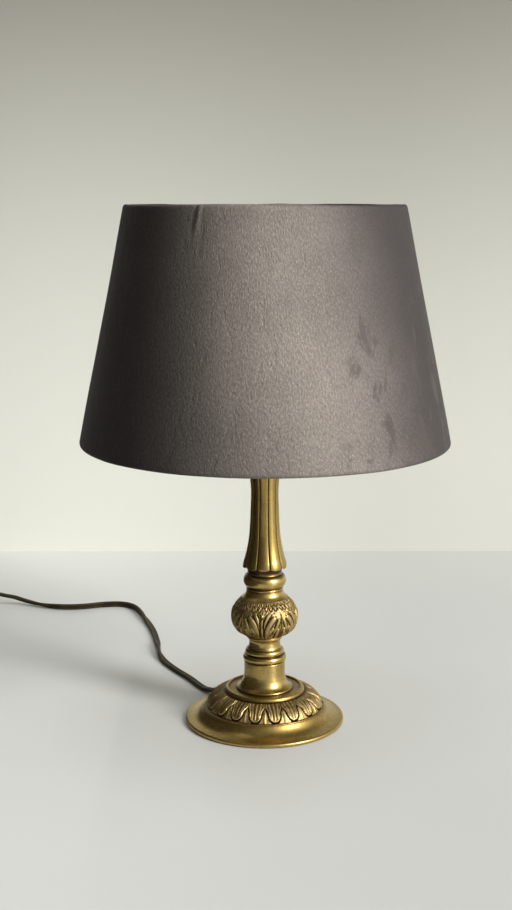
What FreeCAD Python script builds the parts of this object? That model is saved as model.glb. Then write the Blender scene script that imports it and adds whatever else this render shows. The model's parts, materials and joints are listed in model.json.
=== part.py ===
import FreeCAD, Part
import math
import os

import Sketcher

# Table lamp: a turned and cast brass candlestick column, a cone shade of velvet on a wire frame,
# a candle bulb in a small screw lampholder, and a flat twin cord with an in-line rocker switch.
# Millimetres, +Z up. The origin is the middle of the foot's underside, on the table.
# The viewer stands on the -Y side, and the cord leaves the foot at the back left.

VEC = FreeCAD.Vector
UP = VEC(0, 0, 1)
ALONG_X = VEC(1, 0, 0)
ALONG_Y = VEC(0, 1, 0)
FULL_TURN = 360.0

SIZES = {
    # Foot: a hollow casting on a felt disc
    "foot_radius": 55.5,
    "foot_lift": 0.4,
    "rim_round": 0.8,
    "rim_height": 2.7,
    "ridge_radius": 41.4,
    "ridge_level": 10.1,
    "ridge_thickness": 1.5,
    "leaf_foot_radius": 40.2,
    "leaf_top_radius": 28.4,
    "leaf_top_level": 21.6,
    "leaf_relief": 1.0,
    "leaf_count": 18,
    "foot_bead_radius": 27.3,
    "foot_bead_width": 3.2,
    "foot_bead_level": 24.6,
    "seat_level": 23.4,
    "foot_wall": 3.2,
    "felt_inset": 5.3,
    "felt_thickness": 1.8,
    "felt_gap": 0.3,
    "felt_notch_start": 24.0,
    # Column pieces, stacked on the foot's seat
    "column_height": 19.8,
    "column_foot_radius": 19.8,
    "column_lip": 1.5,
    "column_cove_height": 9.6,
    "column_radius": 14.3,
    "edge_break": 0.5,
    "big_reed_radius": 15.4,
    "big_reed_height": 4.8,
    "small_reed_radius": 13.8,
    "small_reed_height": 4.5,
    "collar_neck_radius": 11.9,
    "collar_neck_height": 6.1,
    "knop_height": 36.4,
    "knop_fillet_radius": 12.3,
    "knop_fillet_height": 2.4,
    "knop_radius": 23.3,
    "knop_neck_radius": 12.5,
    "knop_neck_height": 2.6,
    "bead_step_radius": 12.8,
    "bead_step_height": 1.3,
    "bead_radius": 15.6,
    "bead_height": 10.0,
    "bead_top_height": 1.4,
    "stem_base_height": 3.8,
    "stem_base_radius": 15.6,
    "stem_lip": 1.0,
    "stem_shaft_height": 87.0,
    "stem_top_radius": 14.2,
    "stem_top_height": 2.6,
    "reed_count": 10,
    "reed_depth": 1.0,
    "cup_height": 8.0,
    "cup_radius": 19.0,
    "cup_foot_radius": 9.5,
    "cup_floor": 2.5,
    "cup_wall": 1.4,
    # Threaded tube and what clamps the stack
    "tube_radius": 5.0,
    "tube_bore_radius": 3.7,
    "tube_projection": 1.2,
    "tube_in_holder": 7.0,
    "bore_clearance": 0.2,
    "washer_radius": 15.0,
    "washer_thickness": 1.6,
    "nut_flats": 16.0,
    "nut_thickness": 4.6,
    # Cord outlet in the foot
    "outlet_azimuth": 130.0,
    "bushing_radius": 3.1,
    "bushing_wall": 0.4,
    "bushing_length": 14.0,
    "bushing_projection": 1.5,
    "bushing_floor_gap": 0.1,
    "bushing_clearance": 0.15,
    # Lampholder
    "holder_cap_height": 15.0,
    "holder_neck_radius": 8.2,
    "holder_neck_height": 4.0,
    "holder_radius": 13.2,
    "holder_wall": 1.6,
    "holder_body_height": 32.0,
    "skirt_radius": 14.0,
    "skirt_length": 20.0,
    "shoulder_radius": 16.6,
    "shoulder_thickness": 2.0,
    "block_thickness": 6.6,
    "block_gap": 0.2,
    "shell_radius": 7.6,
    "shell_wall": 0.4,
    "shell_length": 21.0,
    "shell_clearance": 0.15,
    "contact_radius": 1.6,
    "contact_projection": 1.4,
    # Ring nut that clamps the shade
    "ring_nut_radius": 20.0,
    "ring_nut_height": 6.0,
    "ring_nut_flange": 2.0,
    "ring_nut_waist_radius": 17.4,
    "thread_gap": 0.3,
    # Candle bulb
    "bulb_contact_gap": 0.3,
    "bulb_tip_length": 3.2,
    "bulb_tip_radius": 2.4,
    "bulb_cap_radius": 6.8,
    "bulb_cap_length": 18.4,
    "bulb_cap_wall": 0.3,
    "glass_neck_radius": 6.3,
    "glass_neck_length": 6.0,
    "glass_radius": 17.5,
    "glass_length": 78.0,
    "glass_wall": 0.8,
    "glass_gap": 0.1,
    "filament_length": 34.0,
    "filament_radius": 0.9,
    "filament_circle": 5.0,
    "filament_count": 4,
    "mount_radius": 2.2,
    # Shade
    "shade_bottom_radius": 125.0,
    "shade_top_radius": 93.4,
    "shade_height": 158.9,
    "shade_drop": 35.1,
    "wire_radius": 1.3,
    "cover_thickness": 1.0,
    "liner_thickness": 0.5,
    "shade_fit": 0.4,
    "arm_radius": 1.4,
    "arm_count": 3,
    "arm_azimuth": 90.0,
    "arm_clearance": 0.4,
    "carrier_radius": 22.0,
    "carrier_thickness": 1.5,
    "carrier_gap": 0.4,
    # Cord, in-line switch, coil and plug
    "cord_diameter": 5.2,
    "cord_clearance": 0.15,
    "cord_grip": 4.0,
    "switch_length": 60.0,
    "switch_width": 28.0,
    "switch_half_height": 9.0,
    "switch_corner": 11.0,
    "switch_wall": 1.8,
    "switch_base_round": 2.0,
    "switch_top_round": 4.5,
    "cavity_length": 40.0,
    "cavity_width": 20.0,
    "rocker_radius": 8.0,
    "rocker_width": 9.0,
    "rocker_rise": 3.6,
    "rocker_tilt": 8.0,
    "rocker_gap": 0.4,
    "pivot_radius": 1.3,
    "pivot_gap": 0.1,
    "pivot_depth": 3.4,
    "cheek_thickness": 1.8,
    "cheek_length": 6.0,
    "switch_contact_length": 12.0,
    "switch_contact_width": 4.0,
    "switch_contact_thickness": 1.2,
    "screw_radius": 1.5,
    "screw_head_radius": 2.7,
    "screw_head_depth": 1.6,
    "screw_length": 7.5,
    "screw_inset": 8.6,
    "screw_gap": 0.2,
    "coil_mean_radius": 31.0,
    "coil_turns": 3.0,
    "coil_pitch": 5.75,
    "coil_out_turns": 2.5,
    "tie_thickness": 0.5,
    "tie_width": 9.0,
    "tie_gap": 0.2,
    "plug_width": 35.3,
    "plug_height": 13.7,
    "plug_length": 34.0,
    "plug_front": 14.0,
    "plug_tail_width": 15.0,
    "plug_round": 2.6,
    "boot_length": 24.0,
    "boot_root_radius": 5.2,
    "boot_tip_radius": 3.7,
    "pin_radius": 2.0,
    "pin_core_radius": 1.4,
    "pin_length": 19.0,
    "pin_spacing": 18.6,
    "pin_root": 4.0,
    "sleeve_length": 10.0,
    "sleeve_radius": 1.8,
    "sleeve_gap": 0.05,
}

# Places on the table, by hand: middle of the switch, middle of the coil
SWITCH_PLACE = {"switch_x": -270.0, "switch_y": 275.0}
COIL_PLACE = {"coil_x": -295.0, "coil_y": 200.0}

# Arc sweeps in degrees: convex beads and concave coves
BEAD_SWEEP = 110.0
SOFT_SWEEP = 60.0
SLOPE_SWEEP = -24.0
COVE_SWEEP = -78.0

# Routes of the free cord, chosen by hand
ROUTE_TO_SWITCH = [
    (-36.6, 43.7, 3.2),
    (-45.6, 54.0, 2.9),
    (-55.0, 75.0, 2.6),
    (-70.0, 98.0, 2.6),
    (-82.5, 124.0, 2.6),
    (-86.0, 154.0, 2.6),
    (-92.0, 190.0, 2.6),
    (-100.5, 220.0, 2.6),
    (-107.5, 241.0, 2.6),
    (-114.0, 257.0, 2.6),
    (-126.0, 265.5, 2.6),
    (-143.0, 264.0, 2.6),
    (-161.0, 256.5, 2.6),
    (-180.0, 255.5, 2.6),
    (-195.0, 262.0, 2.6),
    (-213.0, 270.8, 4.6),
    (-229.5, 275.0, 9.0),
    (-244.0, 275.0, 9.0),
]
ROUTE_TO_COIL = [
    (-296.0, 275.0, 9.0),
    (-314.0, 275.0, 8.4),
    (-330.0, 266.0, 5.2),
    (-336.4, 247.0, 3.6),
    (-334.6, 224.0, 3.3),
]
ROUTE_TO_PLUG = [
    (-331.0, 178.0, 8.7),
    (-332.6, 158.0, 3.6),
    (-331.8, 138.0, 3.2),
    (-331.0, 122.0, 6.85),
    (-331.0, 110.0, 6.85),
]


class Size:
    """A length of the sheet, or a sum of some, as an expression and as its number."""

    def __init__(self, text, value):
        self.text = text
        self.value = value

    def __add__(self, other):
        other = as_size(other)
        return Size(f"({self.text} + {other.text})", self.value + other.value)

    def __sub__(self, other):
        other = as_size(other)
        return Size(f"({self.text} - {other.text})", self.value - other.value)

    def __mul__(self, other):
        other = as_size(other)
        return Size(f"({self.text} * {other.text})", self.value * other.value)

    def __truediv__(self, other):
        other = as_size(other)
        return Size(f"({self.text} / {other.text})", self.value / other.value)

    def __neg__(self):
        return Size(f"(-1 * {self.text})", -self.value)


ZERO = Size("0", 0.0)


def as_size(thing):
    """A plain share or count becomes a Size of its own."""
    return thing if isinstance(thing, Size) else Size(repr(thing), float(thing))


def sine(angle):
    return Size(f"sin({angle.text})", math.sin(math.radians(angle.value)))


def cosine(angle):
    return Size(f"cos({angle.text})", math.cos(math.radians(angle.value)))


def arctangent(rise, run):
    return Size(f"atan({rise.text} / {run.text})", math.degrees(math.atan(rise.value / run.value)))


class Sheet:
    """The sheet of driving sizes; each is an attribute that holds a Size."""

    def __init__(self, document, sizes):
        self.cells = document.addObject("Spreadsheet::Sheet", "dims")
        for row, (name, number) in enumerate(sizes.items(), 1):
            self.cells.set(f"A{row}", name)
            self.cells.set(f"B{row}", str(number))
            self.cells.setAlias(f"B{row}", name)
        document.recompute()
        for name in sizes:
            setattr(self, name, Size(f"dims.{name}", float(self.cells.get(name))))


doc = FreeCAD.newDocument("table_lamp")
s = Sheet(doc, {**SIZES, **SWITCH_PLACE, **COIL_PLACE})
parts = []

# Worked out from the sheet: bores, levels and the shade's wires
bore = s.tube_radius + s.bore_clearance
felt_radius = s.foot_radius - s.felt_inset
bushing_reach = s.foot_radius + s.bushing_projection
collar_height = s.big_reed_height + s.small_reed_height + s.collar_neck_height
ring_height = s.bead_step_height + s.bead_height + s.bead_top_height
stem_height = s.stem_base_height + s.stem_lip + s.stem_shaft_height + s.stem_top_height
column_level = s.seat_level
collar_level = column_level + s.column_height
knop_level = collar_level + collar_height
ring_level = knop_level + s.knop_height
stem_level = ring_level + ring_height
cup_level = stem_level + stem_height
cap_level = cup_level + s.cup_floor
body_level = cap_level + s.holder_cap_height
shoulder_level = body_level + s.holder_body_height - s.skirt_length
carrier_level = shoulder_level
block_level = body_level + s.block_gap
shell_level = block_level + s.block_thickness
cavity_top = s.seat_level - s.foot_wall
cord_radius = s.cord_diameter / 2
switch_level = s.switch_half_height
wire_inset = s.wire_radius + s.shade_fit / 2 + s.cover_thickness
shade_level = carrier_level + s.carrier_thickness - s.shade_drop
bottom_wire_radius = s.shade_bottom_radius - wire_inset
top_wire_radius = s.shade_top_radius - wire_inset
bottom_wire_level = wire_inset
top_wire_level = s.shade_height - wire_inset
slope = arctangent(bottom_wire_radius - top_wire_radius, top_wire_level - bottom_wire_level)


def new_body(name):
    """An empty body; its Label is the name of the piece."""
    body = doc.addObject("PartDesign::Body", name)
    body.Label = name
    parts.append(body)
    return body


def origin_of(body, role):
    """One of the body's own origin planes or axes."""
    return [item for item in body.Origin.OriginFeatures if item.Role == role][0]


def new_sketch(body, name, role):
    sketch = body.newObject("Sketcher::SketchObject", name)
    sketch.AttachmentSupport = (origin_of(body, role), [""])
    sketch.MapMode = "FlatFace"
    return sketch


def arc_between(start, end, sweep):
    """Arc from start to end that turns left for a positive sweep and right for a negative one."""
    across = end - start
    half = math.radians(abs(sweep)) / 2
    left = VEC(-across.y, across.x, 0)
    side = 1 if sweep > 0 else -1
    centre = (start + end) / 2 + left * (side / (2 * math.tan(half)))
    circle = Part.Circle(centre, UP, across.Length / (2 * math.sin(half)))
    first, last = (start, end) if sweep > 0 else (end, start)
    return Part.ArcOfCircle(circle, circle.parameter(first), circle.parameter(last))


def pin_corner(sketch, edge, place, x, y):
    """Ties a corner of the outline to two sizes."""
    for kind, axis, size in (("DistanceX", -2, x), ("DistanceY", -1, y)):
        if size.text == "0":
            sketch.addConstraint(Sketcher.Constraint("PointOnObject", edge, place, axis))
            continue
        row = sketch.addConstraint(Sketcher.Constraint(kind, -1, 1, edge, place, size.value))
        sketch.setExpression(f"Constraints[{row}]", size.text)


def bead_sweep(crest, root, height):
    """Sweep of a bead that rises from its root to its crest over a height."""
    return arctangent((crest - root) * 2, height) * 4


def draw_outline(sketch, corners):
    """Closed outline through (x, y) corners; a third entry is the sweep of the arc that follows."""
    points = [VEC(as_size(c[0]).value, as_size(c[1]).value, 0) for c in corners]
    arcs = [as_size(c[2]) if len(c) > 2 else None for c in corners]
    sweeps = [arc.value if arc else None for arc in arcs]
    count = len(corners)
    ends = []
    for index, sweep in enumerate(sweeps):
        start, end = points[index], points[(index + 1) % count]
        if sweep is None:
            edge = sketch.addGeometry(Part.LineSegment(start, end), False)
        else:
            edge = sketch.addGeometry(arc_between(start, end, sweep), False)
        ends.append((edge, 2, 1) if sweep is not None and sweep < 0 else (edge, 1, 2))
    for index in range(count):
        edge, _, last = ends[index]
        following, first, _ = ends[(index + 1) % count]
        sketch.addConstraint(Sketcher.Constraint("Coincident", edge, last, following, first))
    for index, corner in enumerate(corners):
        edge, first, _ = ends[index]
        pin_corner(sketch, edge, first, as_size(corner[0]), as_size(corner[1]))
        if sweeps[index] is not None:
            angle = math.radians(abs(sweeps[index]))
            row = sketch.addConstraint(Sketcher.Constraint("Angle", edge, angle))
            if "dims" in arcs[index].text:
                sketch.setExpression(f"Constraints[{row}]", f"abs({arcs[index].text})")


def place(body, x=ZERO, y=ZERO, z=ZERO, turn=None):
    """Puts a body where its sizes say, after an optional rotation."""
    body.Placement = FreeCAD.Placement(VEC(x.value, y.value, z.value), turn or FreeCAD.Rotation())
    for axis, size in zip("xyz", (x, y, z)):
        if size.text != "0":
            body.setExpression(f"Placement.Base.{axis}", size.text)


def turn_profile(body, name, corners):
    """A revolved feature about the body's own Z axis."""
    sketch = new_sketch(body, f"{name}_outline", "XZ_Plane")
    draw_outline(sketch, corners)
    feature = body.newObject("PartDesign::Revolution", name)
    feature.Profile = sketch
    feature.ReferenceAxis = (sketch, ["V_Axis"])
    feature.Angle = FULL_TURN
    doc.recompute()
    return feature


def lathe(name, corners, level=ZERO):
    """A turned piece that stands on a level of the stack."""
    body = new_body(name)
    turn_profile(body, f"{name}_turned", corners)
    place(body, z=level)
    return body


def drill(body, name, radius, length, start, turn=None):
    """A round hole in a body, from a start point along the turned Z axis."""
    hole = body.newObject("PartDesign::SubtractiveCylinder", name)
    hole.setExpression("Radius", radius.text)
    hole.setExpression("Height", length.text)
    hole.Placement = FreeCAD.Placement(start, turn or FreeCAD.Rotation())
    doc.recompute()
    return hole


def block(body, name, sizes, corner, cut=False):
    """A box feature with its low corner given; it adds, or cuts."""
    kind = "PartDesign::SubtractiveBox" if cut else "PartDesign::AdditiveBox"
    box = body.newObject(kind, name)
    for axis, size in zip(("Length", "Width", "Height"), sizes):
        box.setExpression(axis, size.text)
    box.Placement = FreeCAD.Placement(VEC(*[c.value for c in corner]), FreeCAD.Rotation())
    doc.recompute()
    return box


def repeat_round(body, features, name, count):
    """Copies of features, evenly round the body's Z axis."""
    ring = body.newObject("PartDesign::PolarPattern", name)
    ring.Originals = features
    ring.Axis = (origin_of(body, "Z_Axis"), [""])
    ring.Angle = FULL_TURN
    ring.setExpression("Occurrences", count.text)
    body.Tip = ring
    doc.recompute()
    return ring


def round_edges(body, name, radius, wanted):
    """Fillets the edges of the tip that the wanted test picks."""
    base = body.Tip
    names = [f"Edge{i}" for i, edge in enumerate(base.Shape.Edges, 1) if wanted(edge)]
    fillet = body.newObject("PartDesign::Fillet", name)
    fillet.Base = (base, names)
    fillet.setExpression("Radius", radius.text)
    doc.recompute()
    return fillet


def is_upright(edge):
    """True for an edge that runs straight up."""
    box = edge.BoundBox
    return box.ZLength > max(box.XLength, box.YLength) * 10


def edge_lies_at(height):
    """A test for edges that lie level at a height of the body."""
    def test(edge):
        box = edge.BoundBox
        return abs(box.ZMin - height) < 1e-4 and abs(box.ZMax - height) < 1e-4
    return test


def solid_piece(name, shape, placement=None):
    """A piece whose form no body feature fits: cords and lofted shafts."""
    piece = doc.addObject("Part::Feature", name)
    piece.Label = name
    piece.Shape = shape
    if placement:
        piece.Placement = placement
    parts.append(piece)
    return piece


def group(name, members):
    """Like pieces that share one node as separate solids."""
    compound = doc.addObject("Part::Compound", name)
    compound.Label = name
    compound.Links = members
    parts.append(compound)
    doc.recompute()
    return compound


# Foot: the leaf layer comes first and is cut into tongues, then the casting fills in under it

foot = new_body("foot")
leaf_inner_radius = s.leaf_foot_radius - s.foot_wall / 2
leaf_inner_top = s.leaf_top_radius - s.foot_wall / 2
turn_profile(foot, "leaf_layer", [
    (leaf_inner_radius, s.ridge_level + s.ridge_thickness / 2),
    (s.leaf_foot_radius, s.ridge_level + s.ridge_thickness / 2),
    (s.leaf_foot_radius, s.ridge_level + s.ridge_thickness + s.leaf_relief / 2, SOFT_SWEEP),
    (s.leaf_top_radius + s.leaf_relief, s.leaf_top_level),
    (leaf_inner_top, s.leaf_top_level - s.foot_wall / 2, -SOFT_SWEEP),
])
half_pitch = as_size(FULL_TURN / 2) / s.leaf_count
dart_root_share = 0.28
dart_flank_share = 0.93
dart_root = s.leaf_top_radius + (s.leaf_foot_radius - s.leaf_top_radius) * dart_root_share
dart_reach = s.leaf_foot_radius + s.leaf_relief
dart_width = dart_reach * sine(half_pitch) * dart_flank_share
dart_sketch = new_sketch(foot, "leaf_dart", "XY_Plane")
draw_outline(dart_sketch, [
    (dart_root, ZERO, SOFT_SWEEP),
    (dart_reach, -dart_width),
    (dart_reach, dart_width, SOFT_SWEEP),
])
dart = foot.newObject("PartDesign::Pocket", "leaf_darts")
dart.Profile = dart_sketch
dart.Type = "Length"
dart.Reversed = True
dart.setExpression("Length", s.seat_level.text)
doc.recompute()
repeat_round(foot, [dart], "leaf_tongues", s.leaf_count)

rim_top = s.foot_lift + s.rim_height
ridge_foot = s.ridge_radius + s.ridge_thickness / 4
felt_recess = felt_radius + s.felt_gap
rim_share = 0.6
turn_profile(foot, "casting", [
    (bore, cavity_top),
    (s.leaf_top_radius - s.foot_wall * 2, cavity_top),
    (s.leaf_foot_radius - s.foot_wall * 2, s.ridge_level - s.foot_wall * rim_share),
    (felt_radius - s.foot_wall, s.felt_thickness + s.foot_wall / 4),
    (felt_radius - s.foot_wall, s.felt_thickness),
    (felt_recess, s.felt_thickness),
    (felt_recess, s.foot_lift),
    (s.foot_radius - s.rim_round, s.foot_lift, SOFT_SWEEP),
    (s.foot_radius, s.foot_lift + s.rim_round),
    (s.foot_radius, rim_top - s.rim_round, SOFT_SWEEP),
    (s.foot_radius - s.rim_round * 2, rim_top, SLOPE_SWEEP),
    (ridge_foot, s.ridge_level),
    (ridge_foot, s.ridge_level + s.ridge_thickness / 4, BEAD_SWEEP),
    (s.leaf_foot_radius - s.leaf_relief, s.ridge_level + s.ridge_thickness, SOFT_SWEEP),
    (s.leaf_top_radius, s.leaf_top_level),
    (s.foot_bead_radius, s.leaf_top_level, BEAD_SWEEP),
    (s.foot_bead_radius - s.foot_bead_width, s.foot_bead_level - s.rim_round / 2),
    (s.foot_bead_radius - s.foot_bead_width, s.seat_level),
    (bore, s.seat_level),
])
bushing_level = s.bushing_radius + s.bushing_floor_gap
notch_radius = s.bushing_radius + s.bushing_clearance
notch_start = bushing_reach - s.bushing_length - s.foot_wall * 2
toward_x = FreeCAD.Rotation(ALONG_Y, 90)


def cut_outlet(body, start):
    """The round-topped notch that the cord's bush sits in, along the body's X axis."""
    reach = s.foot_radius + s.foot_wall - start
    drill(body, f"{body.Name}_outlet_top", notch_radius, reach,
          VEC(start.value, 0, bushing_level.value), toward_x)
    return block(body, f"{body.Name}_outlet", (reach, notch_radius * 2, bushing_level),
                 (start, -notch_radius, ZERO), cut=True)


cut_outlet(foot, notch_start)
outlet_turn = FreeCAD.Rotation(UP, s.outlet_azimuth.value)
place(foot, turn=outlet_turn)

felt_pad = lathe("felt_pad", [
    (ZERO, ZERO), (felt_radius, ZERO), (felt_radius, s.felt_thickness), (ZERO, s.felt_thickness),
])
cut_outlet(felt_pad, s.felt_notch_start)
place(felt_pad, turn=outlet_turn)

bushing_bore = s.bushing_radius - s.bushing_wall
cord_bushing = lathe("cord_bushing", [
    (bushing_bore, ZERO), (s.bushing_radius, ZERO),
    (s.bushing_radius, s.bushing_length), (bushing_bore, s.bushing_length),
])
bushing_start = bushing_reach - s.bushing_length
place(cord_bushing, bushing_start * cosine(s.outlet_azimuth), bushing_start * sine(s.outlet_azimuth),
      bushing_level, outlet_turn * toward_x)

# Column pieces, each turned and bored for the threaded tube

lathe("lower_column", [
    (bore, ZERO),
    (s.column_foot_radius, ZERO),
    (s.column_foot_radius, s.column_lip, COVE_SWEEP),
    (s.column_radius, s.column_cove_height),
    (s.column_radius, s.column_height - s.edge_break),
    (s.column_radius - s.edge_break, s.column_height),
    (bore, s.column_height),
], column_level)

reed_root_share = 0.87
big_reed_root = s.big_reed_radius * reed_root_share
small_reed_root = s.small_reed_radius * reed_root_share
lathe("reeded_collar", [
    (bore, ZERO),
    (big_reed_root, ZERO, bead_sweep(s.big_reed_radius, big_reed_root, s.big_reed_height)),
    (big_reed_root, s.big_reed_height),
    (small_reed_root, s.big_reed_height, bead_sweep(s.small_reed_radius, small_reed_root, s.small_reed_height)),
    (small_reed_root, s.big_reed_height + s.small_reed_height, COVE_SWEEP / 2),
    (s.collar_neck_radius, collar_height),
    (bore, collar_height),
], collar_level)

knop_middle_share = 0.42
knop_middle = s.knop_fillet_height + (s.knop_height - s.knop_fillet_height) * knop_middle_share
lathe("leaf_knop", [
    (bore, ZERO),
    (s.collar_neck_radius, ZERO, BEAD_SWEEP),
    (s.knop_fillet_radius, s.knop_fillet_height, SOFT_SWEEP),
    (s.knop_radius, knop_middle),
    (s.knop_radius, knop_middle + s.edge_break * 2, SOFT_SWEEP),
    (s.knop_neck_radius, s.knop_height - s.knop_neck_height, COVE_SWEEP / 2),
    (s.knop_neck_radius, s.knop_height),
    (bore, s.knop_height),
], knop_level)

lathe("bead_ring", [
    (bore, ZERO),
    (s.bead_step_radius, ZERO),
    (s.bead_step_radius, s.bead_step_height, bead_sweep(s.bead_radius, s.bead_step_radius, s.bead_height)),
    (s.bead_step_radius, s.bead_step_height + s.bead_height, COVE_SWEEP / 2),
    (s.bead_step_radius, ring_height),
    (bore, ring_height),
], ring_level)

# Fluted stem: a loft through reeded sections on a turned foot, under a turned top

SECTION_HEIGHT_SHARES = [0.0, 0.068, 0.142, 0.237, 0.41, 0.584, 0.734, 0.873, 1.0]
SECTION_RADIUS_SHARES = [0.985, 0.891, 0.795, 0.705, 0.647, 0.615, 0.654, 0.744, 0.885]


def reeded_section(radius, depth, height, count):
    """Closed wire of convex arcs, one for each reed, that meet in narrow grooves."""
    pitch = 2 * math.pi / count
    edges = []
    for reed in range(count):
        low, middle, high = (reed * pitch, (reed + 0.5) * pitch, (reed + 1) * pitch)
        spots = [
            VEC(r * math.cos(a), r * math.sin(a), height)
            for r, a in ((radius - depth, low), (radius, middle), (radius - depth, high))
        ]
        edges.append(Part.Arc(*spots).toShape())
    return Part.Wire(edges)


def turned_solid(outline):
    """Solid of revolution about Z from straight (radius, height) corners."""
    points = [VEC(r, 0, z) for r, z in outline]
    return Part.Face(Part.makePolygon(points + points[:1])).revolve(VEC(), UP, FULL_TURN)


def stem_shape():
    count = int(s.reed_count.value)
    foot_level = (s.stem_base_height + s.stem_lip).value
    shaft = s.stem_shaft_height.value
    sections = [
        reeded_section(
            s.stem_base_radius.value * radius_share,
            s.reed_depth.value * radius_share,
            foot_level + shaft * height_share,
            count,
        )
        for height_share, radius_share in zip(SECTION_HEIGHT_SHARES, SECTION_RADIUS_SHARES)
    ]
    shaft_solid = Part.makeLoft(sections, True, False)
    inner = bore.value
    base_solid = turned_solid([
        (inner, 0), (s.bead_step_radius.value, 0),
        (s.stem_base_radius.value, s.stem_base_height.value),
        (s.stem_base_radius.value, foot_level), (inner, foot_level),
    ])
    top_level = foot_level + shaft
    top_solid = turned_solid([
        (inner, top_level), (s.stem_top_radius.value, top_level),
        (s.stem_top_radius.value, top_level + s.stem_top_height.value),
        (inner, top_level + s.stem_top_height.value),
    ])
    hole = Part.makeCylinder(inner, stem_height.value)
    return base_solid.fuse([shaft_solid, top_solid]).cut(hole).removeSplitter()


stem = solid_piece("fluted_stem", stem_shape(), FreeCAD.Placement(
    VEC(0, 0, stem_level.value), FreeCAD.Rotation()))

# Cup under the lampholder, and what clamps the stack

lathe("candle_cup", [
    (bore, ZERO),
    (s.cup_foot_radius, ZERO, SOFT_SWEEP),
    (s.cup_radius, s.cup_height - s.cup_wall),
    (s.cup_radius, s.cup_height),
    (s.cup_radius - s.cup_wall, s.cup_height, -SOFT_SWEEP),
    (s.cup_foot_radius, s.cup_floor),
    (bore, s.cup_floor),
], cup_level)

nut_level = cavity_top - s.washer_thickness - s.nut_thickness
tube_start = nut_level - s.tube_projection
tube_end = cap_level + s.tube_in_holder
lathe("threaded_tube", [
    (s.tube_bore_radius, ZERO), (s.tube_radius, ZERO),
    (s.tube_radius, tube_end - tube_start), (s.tube_bore_radius, tube_end - tube_start),
], tube_start)

lathe("base_washer", [
    (bore, ZERO), (s.washer_radius, ZERO),
    (s.washer_radius, s.washer_thickness), (bore, s.washer_thickness),
], cavity_top - s.washer_thickness)

HEX_SIDES = 6
nut_corner = s.nut_flats / 2 / cosine(as_size(FULL_TURN / HEX_SIDES / 2))
base_nut = new_body("base_nut")
hex_sketch = new_sketch(base_nut, "hexagon", "XY_Plane")
draw_outline(hex_sketch, [
    (nut_corner * cosine(as_size(FULL_TURN / HEX_SIDES * (side + 0.5))),
     nut_corner * sine(as_size(FULL_TURN / HEX_SIDES * (side + 0.5))))
    for side in range(HEX_SIDES)
])
hex_pad = base_nut.newObject("PartDesign::Pad", "hexagon_pad")
hex_pad.Profile = hex_sketch
hex_pad.setExpression("Length", s.nut_thickness.text)
doc.recompute()
drill(base_nut, "nut_thread", bore, s.nut_thickness, VEC(0, 0, 0))
place(base_nut, z=nut_level)

# Lampholder: cap on the tube, body with its shoulder and threaded skirt, and the parts inside

lathe("holder_cap", [
    (bore, ZERO),
    (s.holder_neck_radius, ZERO),
    (s.holder_neck_radius, s.holder_neck_height, SOFT_SWEEP),
    (s.holder_radius, s.holder_cap_height - s.holder_neck_height),
    (s.holder_radius, s.holder_cap_height),
    (s.holder_radius - s.holder_wall, s.holder_cap_height),
    (s.holder_radius - s.holder_wall, s.holder_cap_height - s.holder_neck_height),
    (s.holder_neck_radius, s.tube_in_holder + s.holder_wall / 2),
    (bore, s.tube_in_holder + s.holder_wall / 2),
], cap_level)

shell_bore = s.shell_radius + s.shell_clearance
block_radius = s.holder_radius - s.holder_wall - s.block_gap
skirt_start = s.holder_body_height - s.skirt_length
lathe("holder_body", [
    (block_radius + s.block_gap, ZERO),
    (s.holder_radius, ZERO),
    (s.holder_radius, skirt_start - s.shoulder_thickness),
    (s.shoulder_radius, skirt_start - s.shoulder_thickness),
    (s.shoulder_radius, skirt_start),
    (s.skirt_radius, skirt_start),
    (s.skirt_radius, s.holder_body_height - s.edge_break),
    (s.skirt_radius - s.edge_break, s.holder_body_height),
    (shell_bore, s.holder_body_height),
    (shell_bore, s.block_gap + s.block_thickness),
    (block_radius + s.block_gap, s.block_gap + s.block_thickness),
], body_level)

contact_hole = s.contact_radius + s.block_gap
lathe("contact_block", [
    (contact_hole, ZERO), (block_radius, ZERO),
    (block_radius, s.block_thickness), (contact_hole, s.block_thickness),
], block_level)

contact_flange = s.contact_radius * 2
lathe("centre_contact", [
    (ZERO, -s.block_gap * 4), (contact_flange, -s.block_gap * 4), (contact_flange, ZERO),
    (s.contact_radius, ZERO), (s.contact_radius, s.block_thickness + s.contact_projection),
    (ZERO, s.block_thickness + s.contact_projection),
], block_level)

lathe("screw_shell", [
    (s.shell_radius - s.shell_wall, ZERO), (s.shell_radius, ZERO),
    (s.shell_radius, s.shell_length), (s.shell_radius - s.shell_wall, s.shell_length),
], shell_level)

ring_nut_bore = s.skirt_radius + s.thread_gap
ring_nut_level = carrier_level + s.carrier_thickness
lathe("shade_nut", [
    (ring_nut_bore, ZERO),
    (s.ring_nut_radius, ZERO),
    (s.ring_nut_radius, s.ring_nut_flange),
    (s.ring_nut_waist_radius, s.ring_nut_flange),
    (s.ring_nut_waist_radius, s.ring_nut_height),
    (ring_nut_bore, s.ring_nut_height),
], ring_nut_level)

# Candle bulb

bulb_level = shell_level + s.contact_projection + s.bulb_contact_gap
bulb_cap_level = bulb_level + s.bulb_tip_length
glass_level = bulb_cap_level + s.bulb_cap_length
lathe("bulb_tip", [
    (ZERO, ZERO),
    (s.bulb_tip_radius, ZERO),
    (s.bulb_cap_radius, s.bulb_tip_length - s.edge_break),
    (s.bulb_cap_radius, s.bulb_tip_length),
    (ZERO, s.bulb_tip_length),
], bulb_level)

lathe("bulb_cap", [
    (s.bulb_cap_radius - s.bulb_cap_wall, ZERO), (s.bulb_cap_radius, ZERO),
    (s.bulb_cap_radius, s.bulb_cap_length), (s.bulb_cap_radius - s.bulb_cap_wall, s.bulb_cap_length),
], bulb_cap_level)

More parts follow.
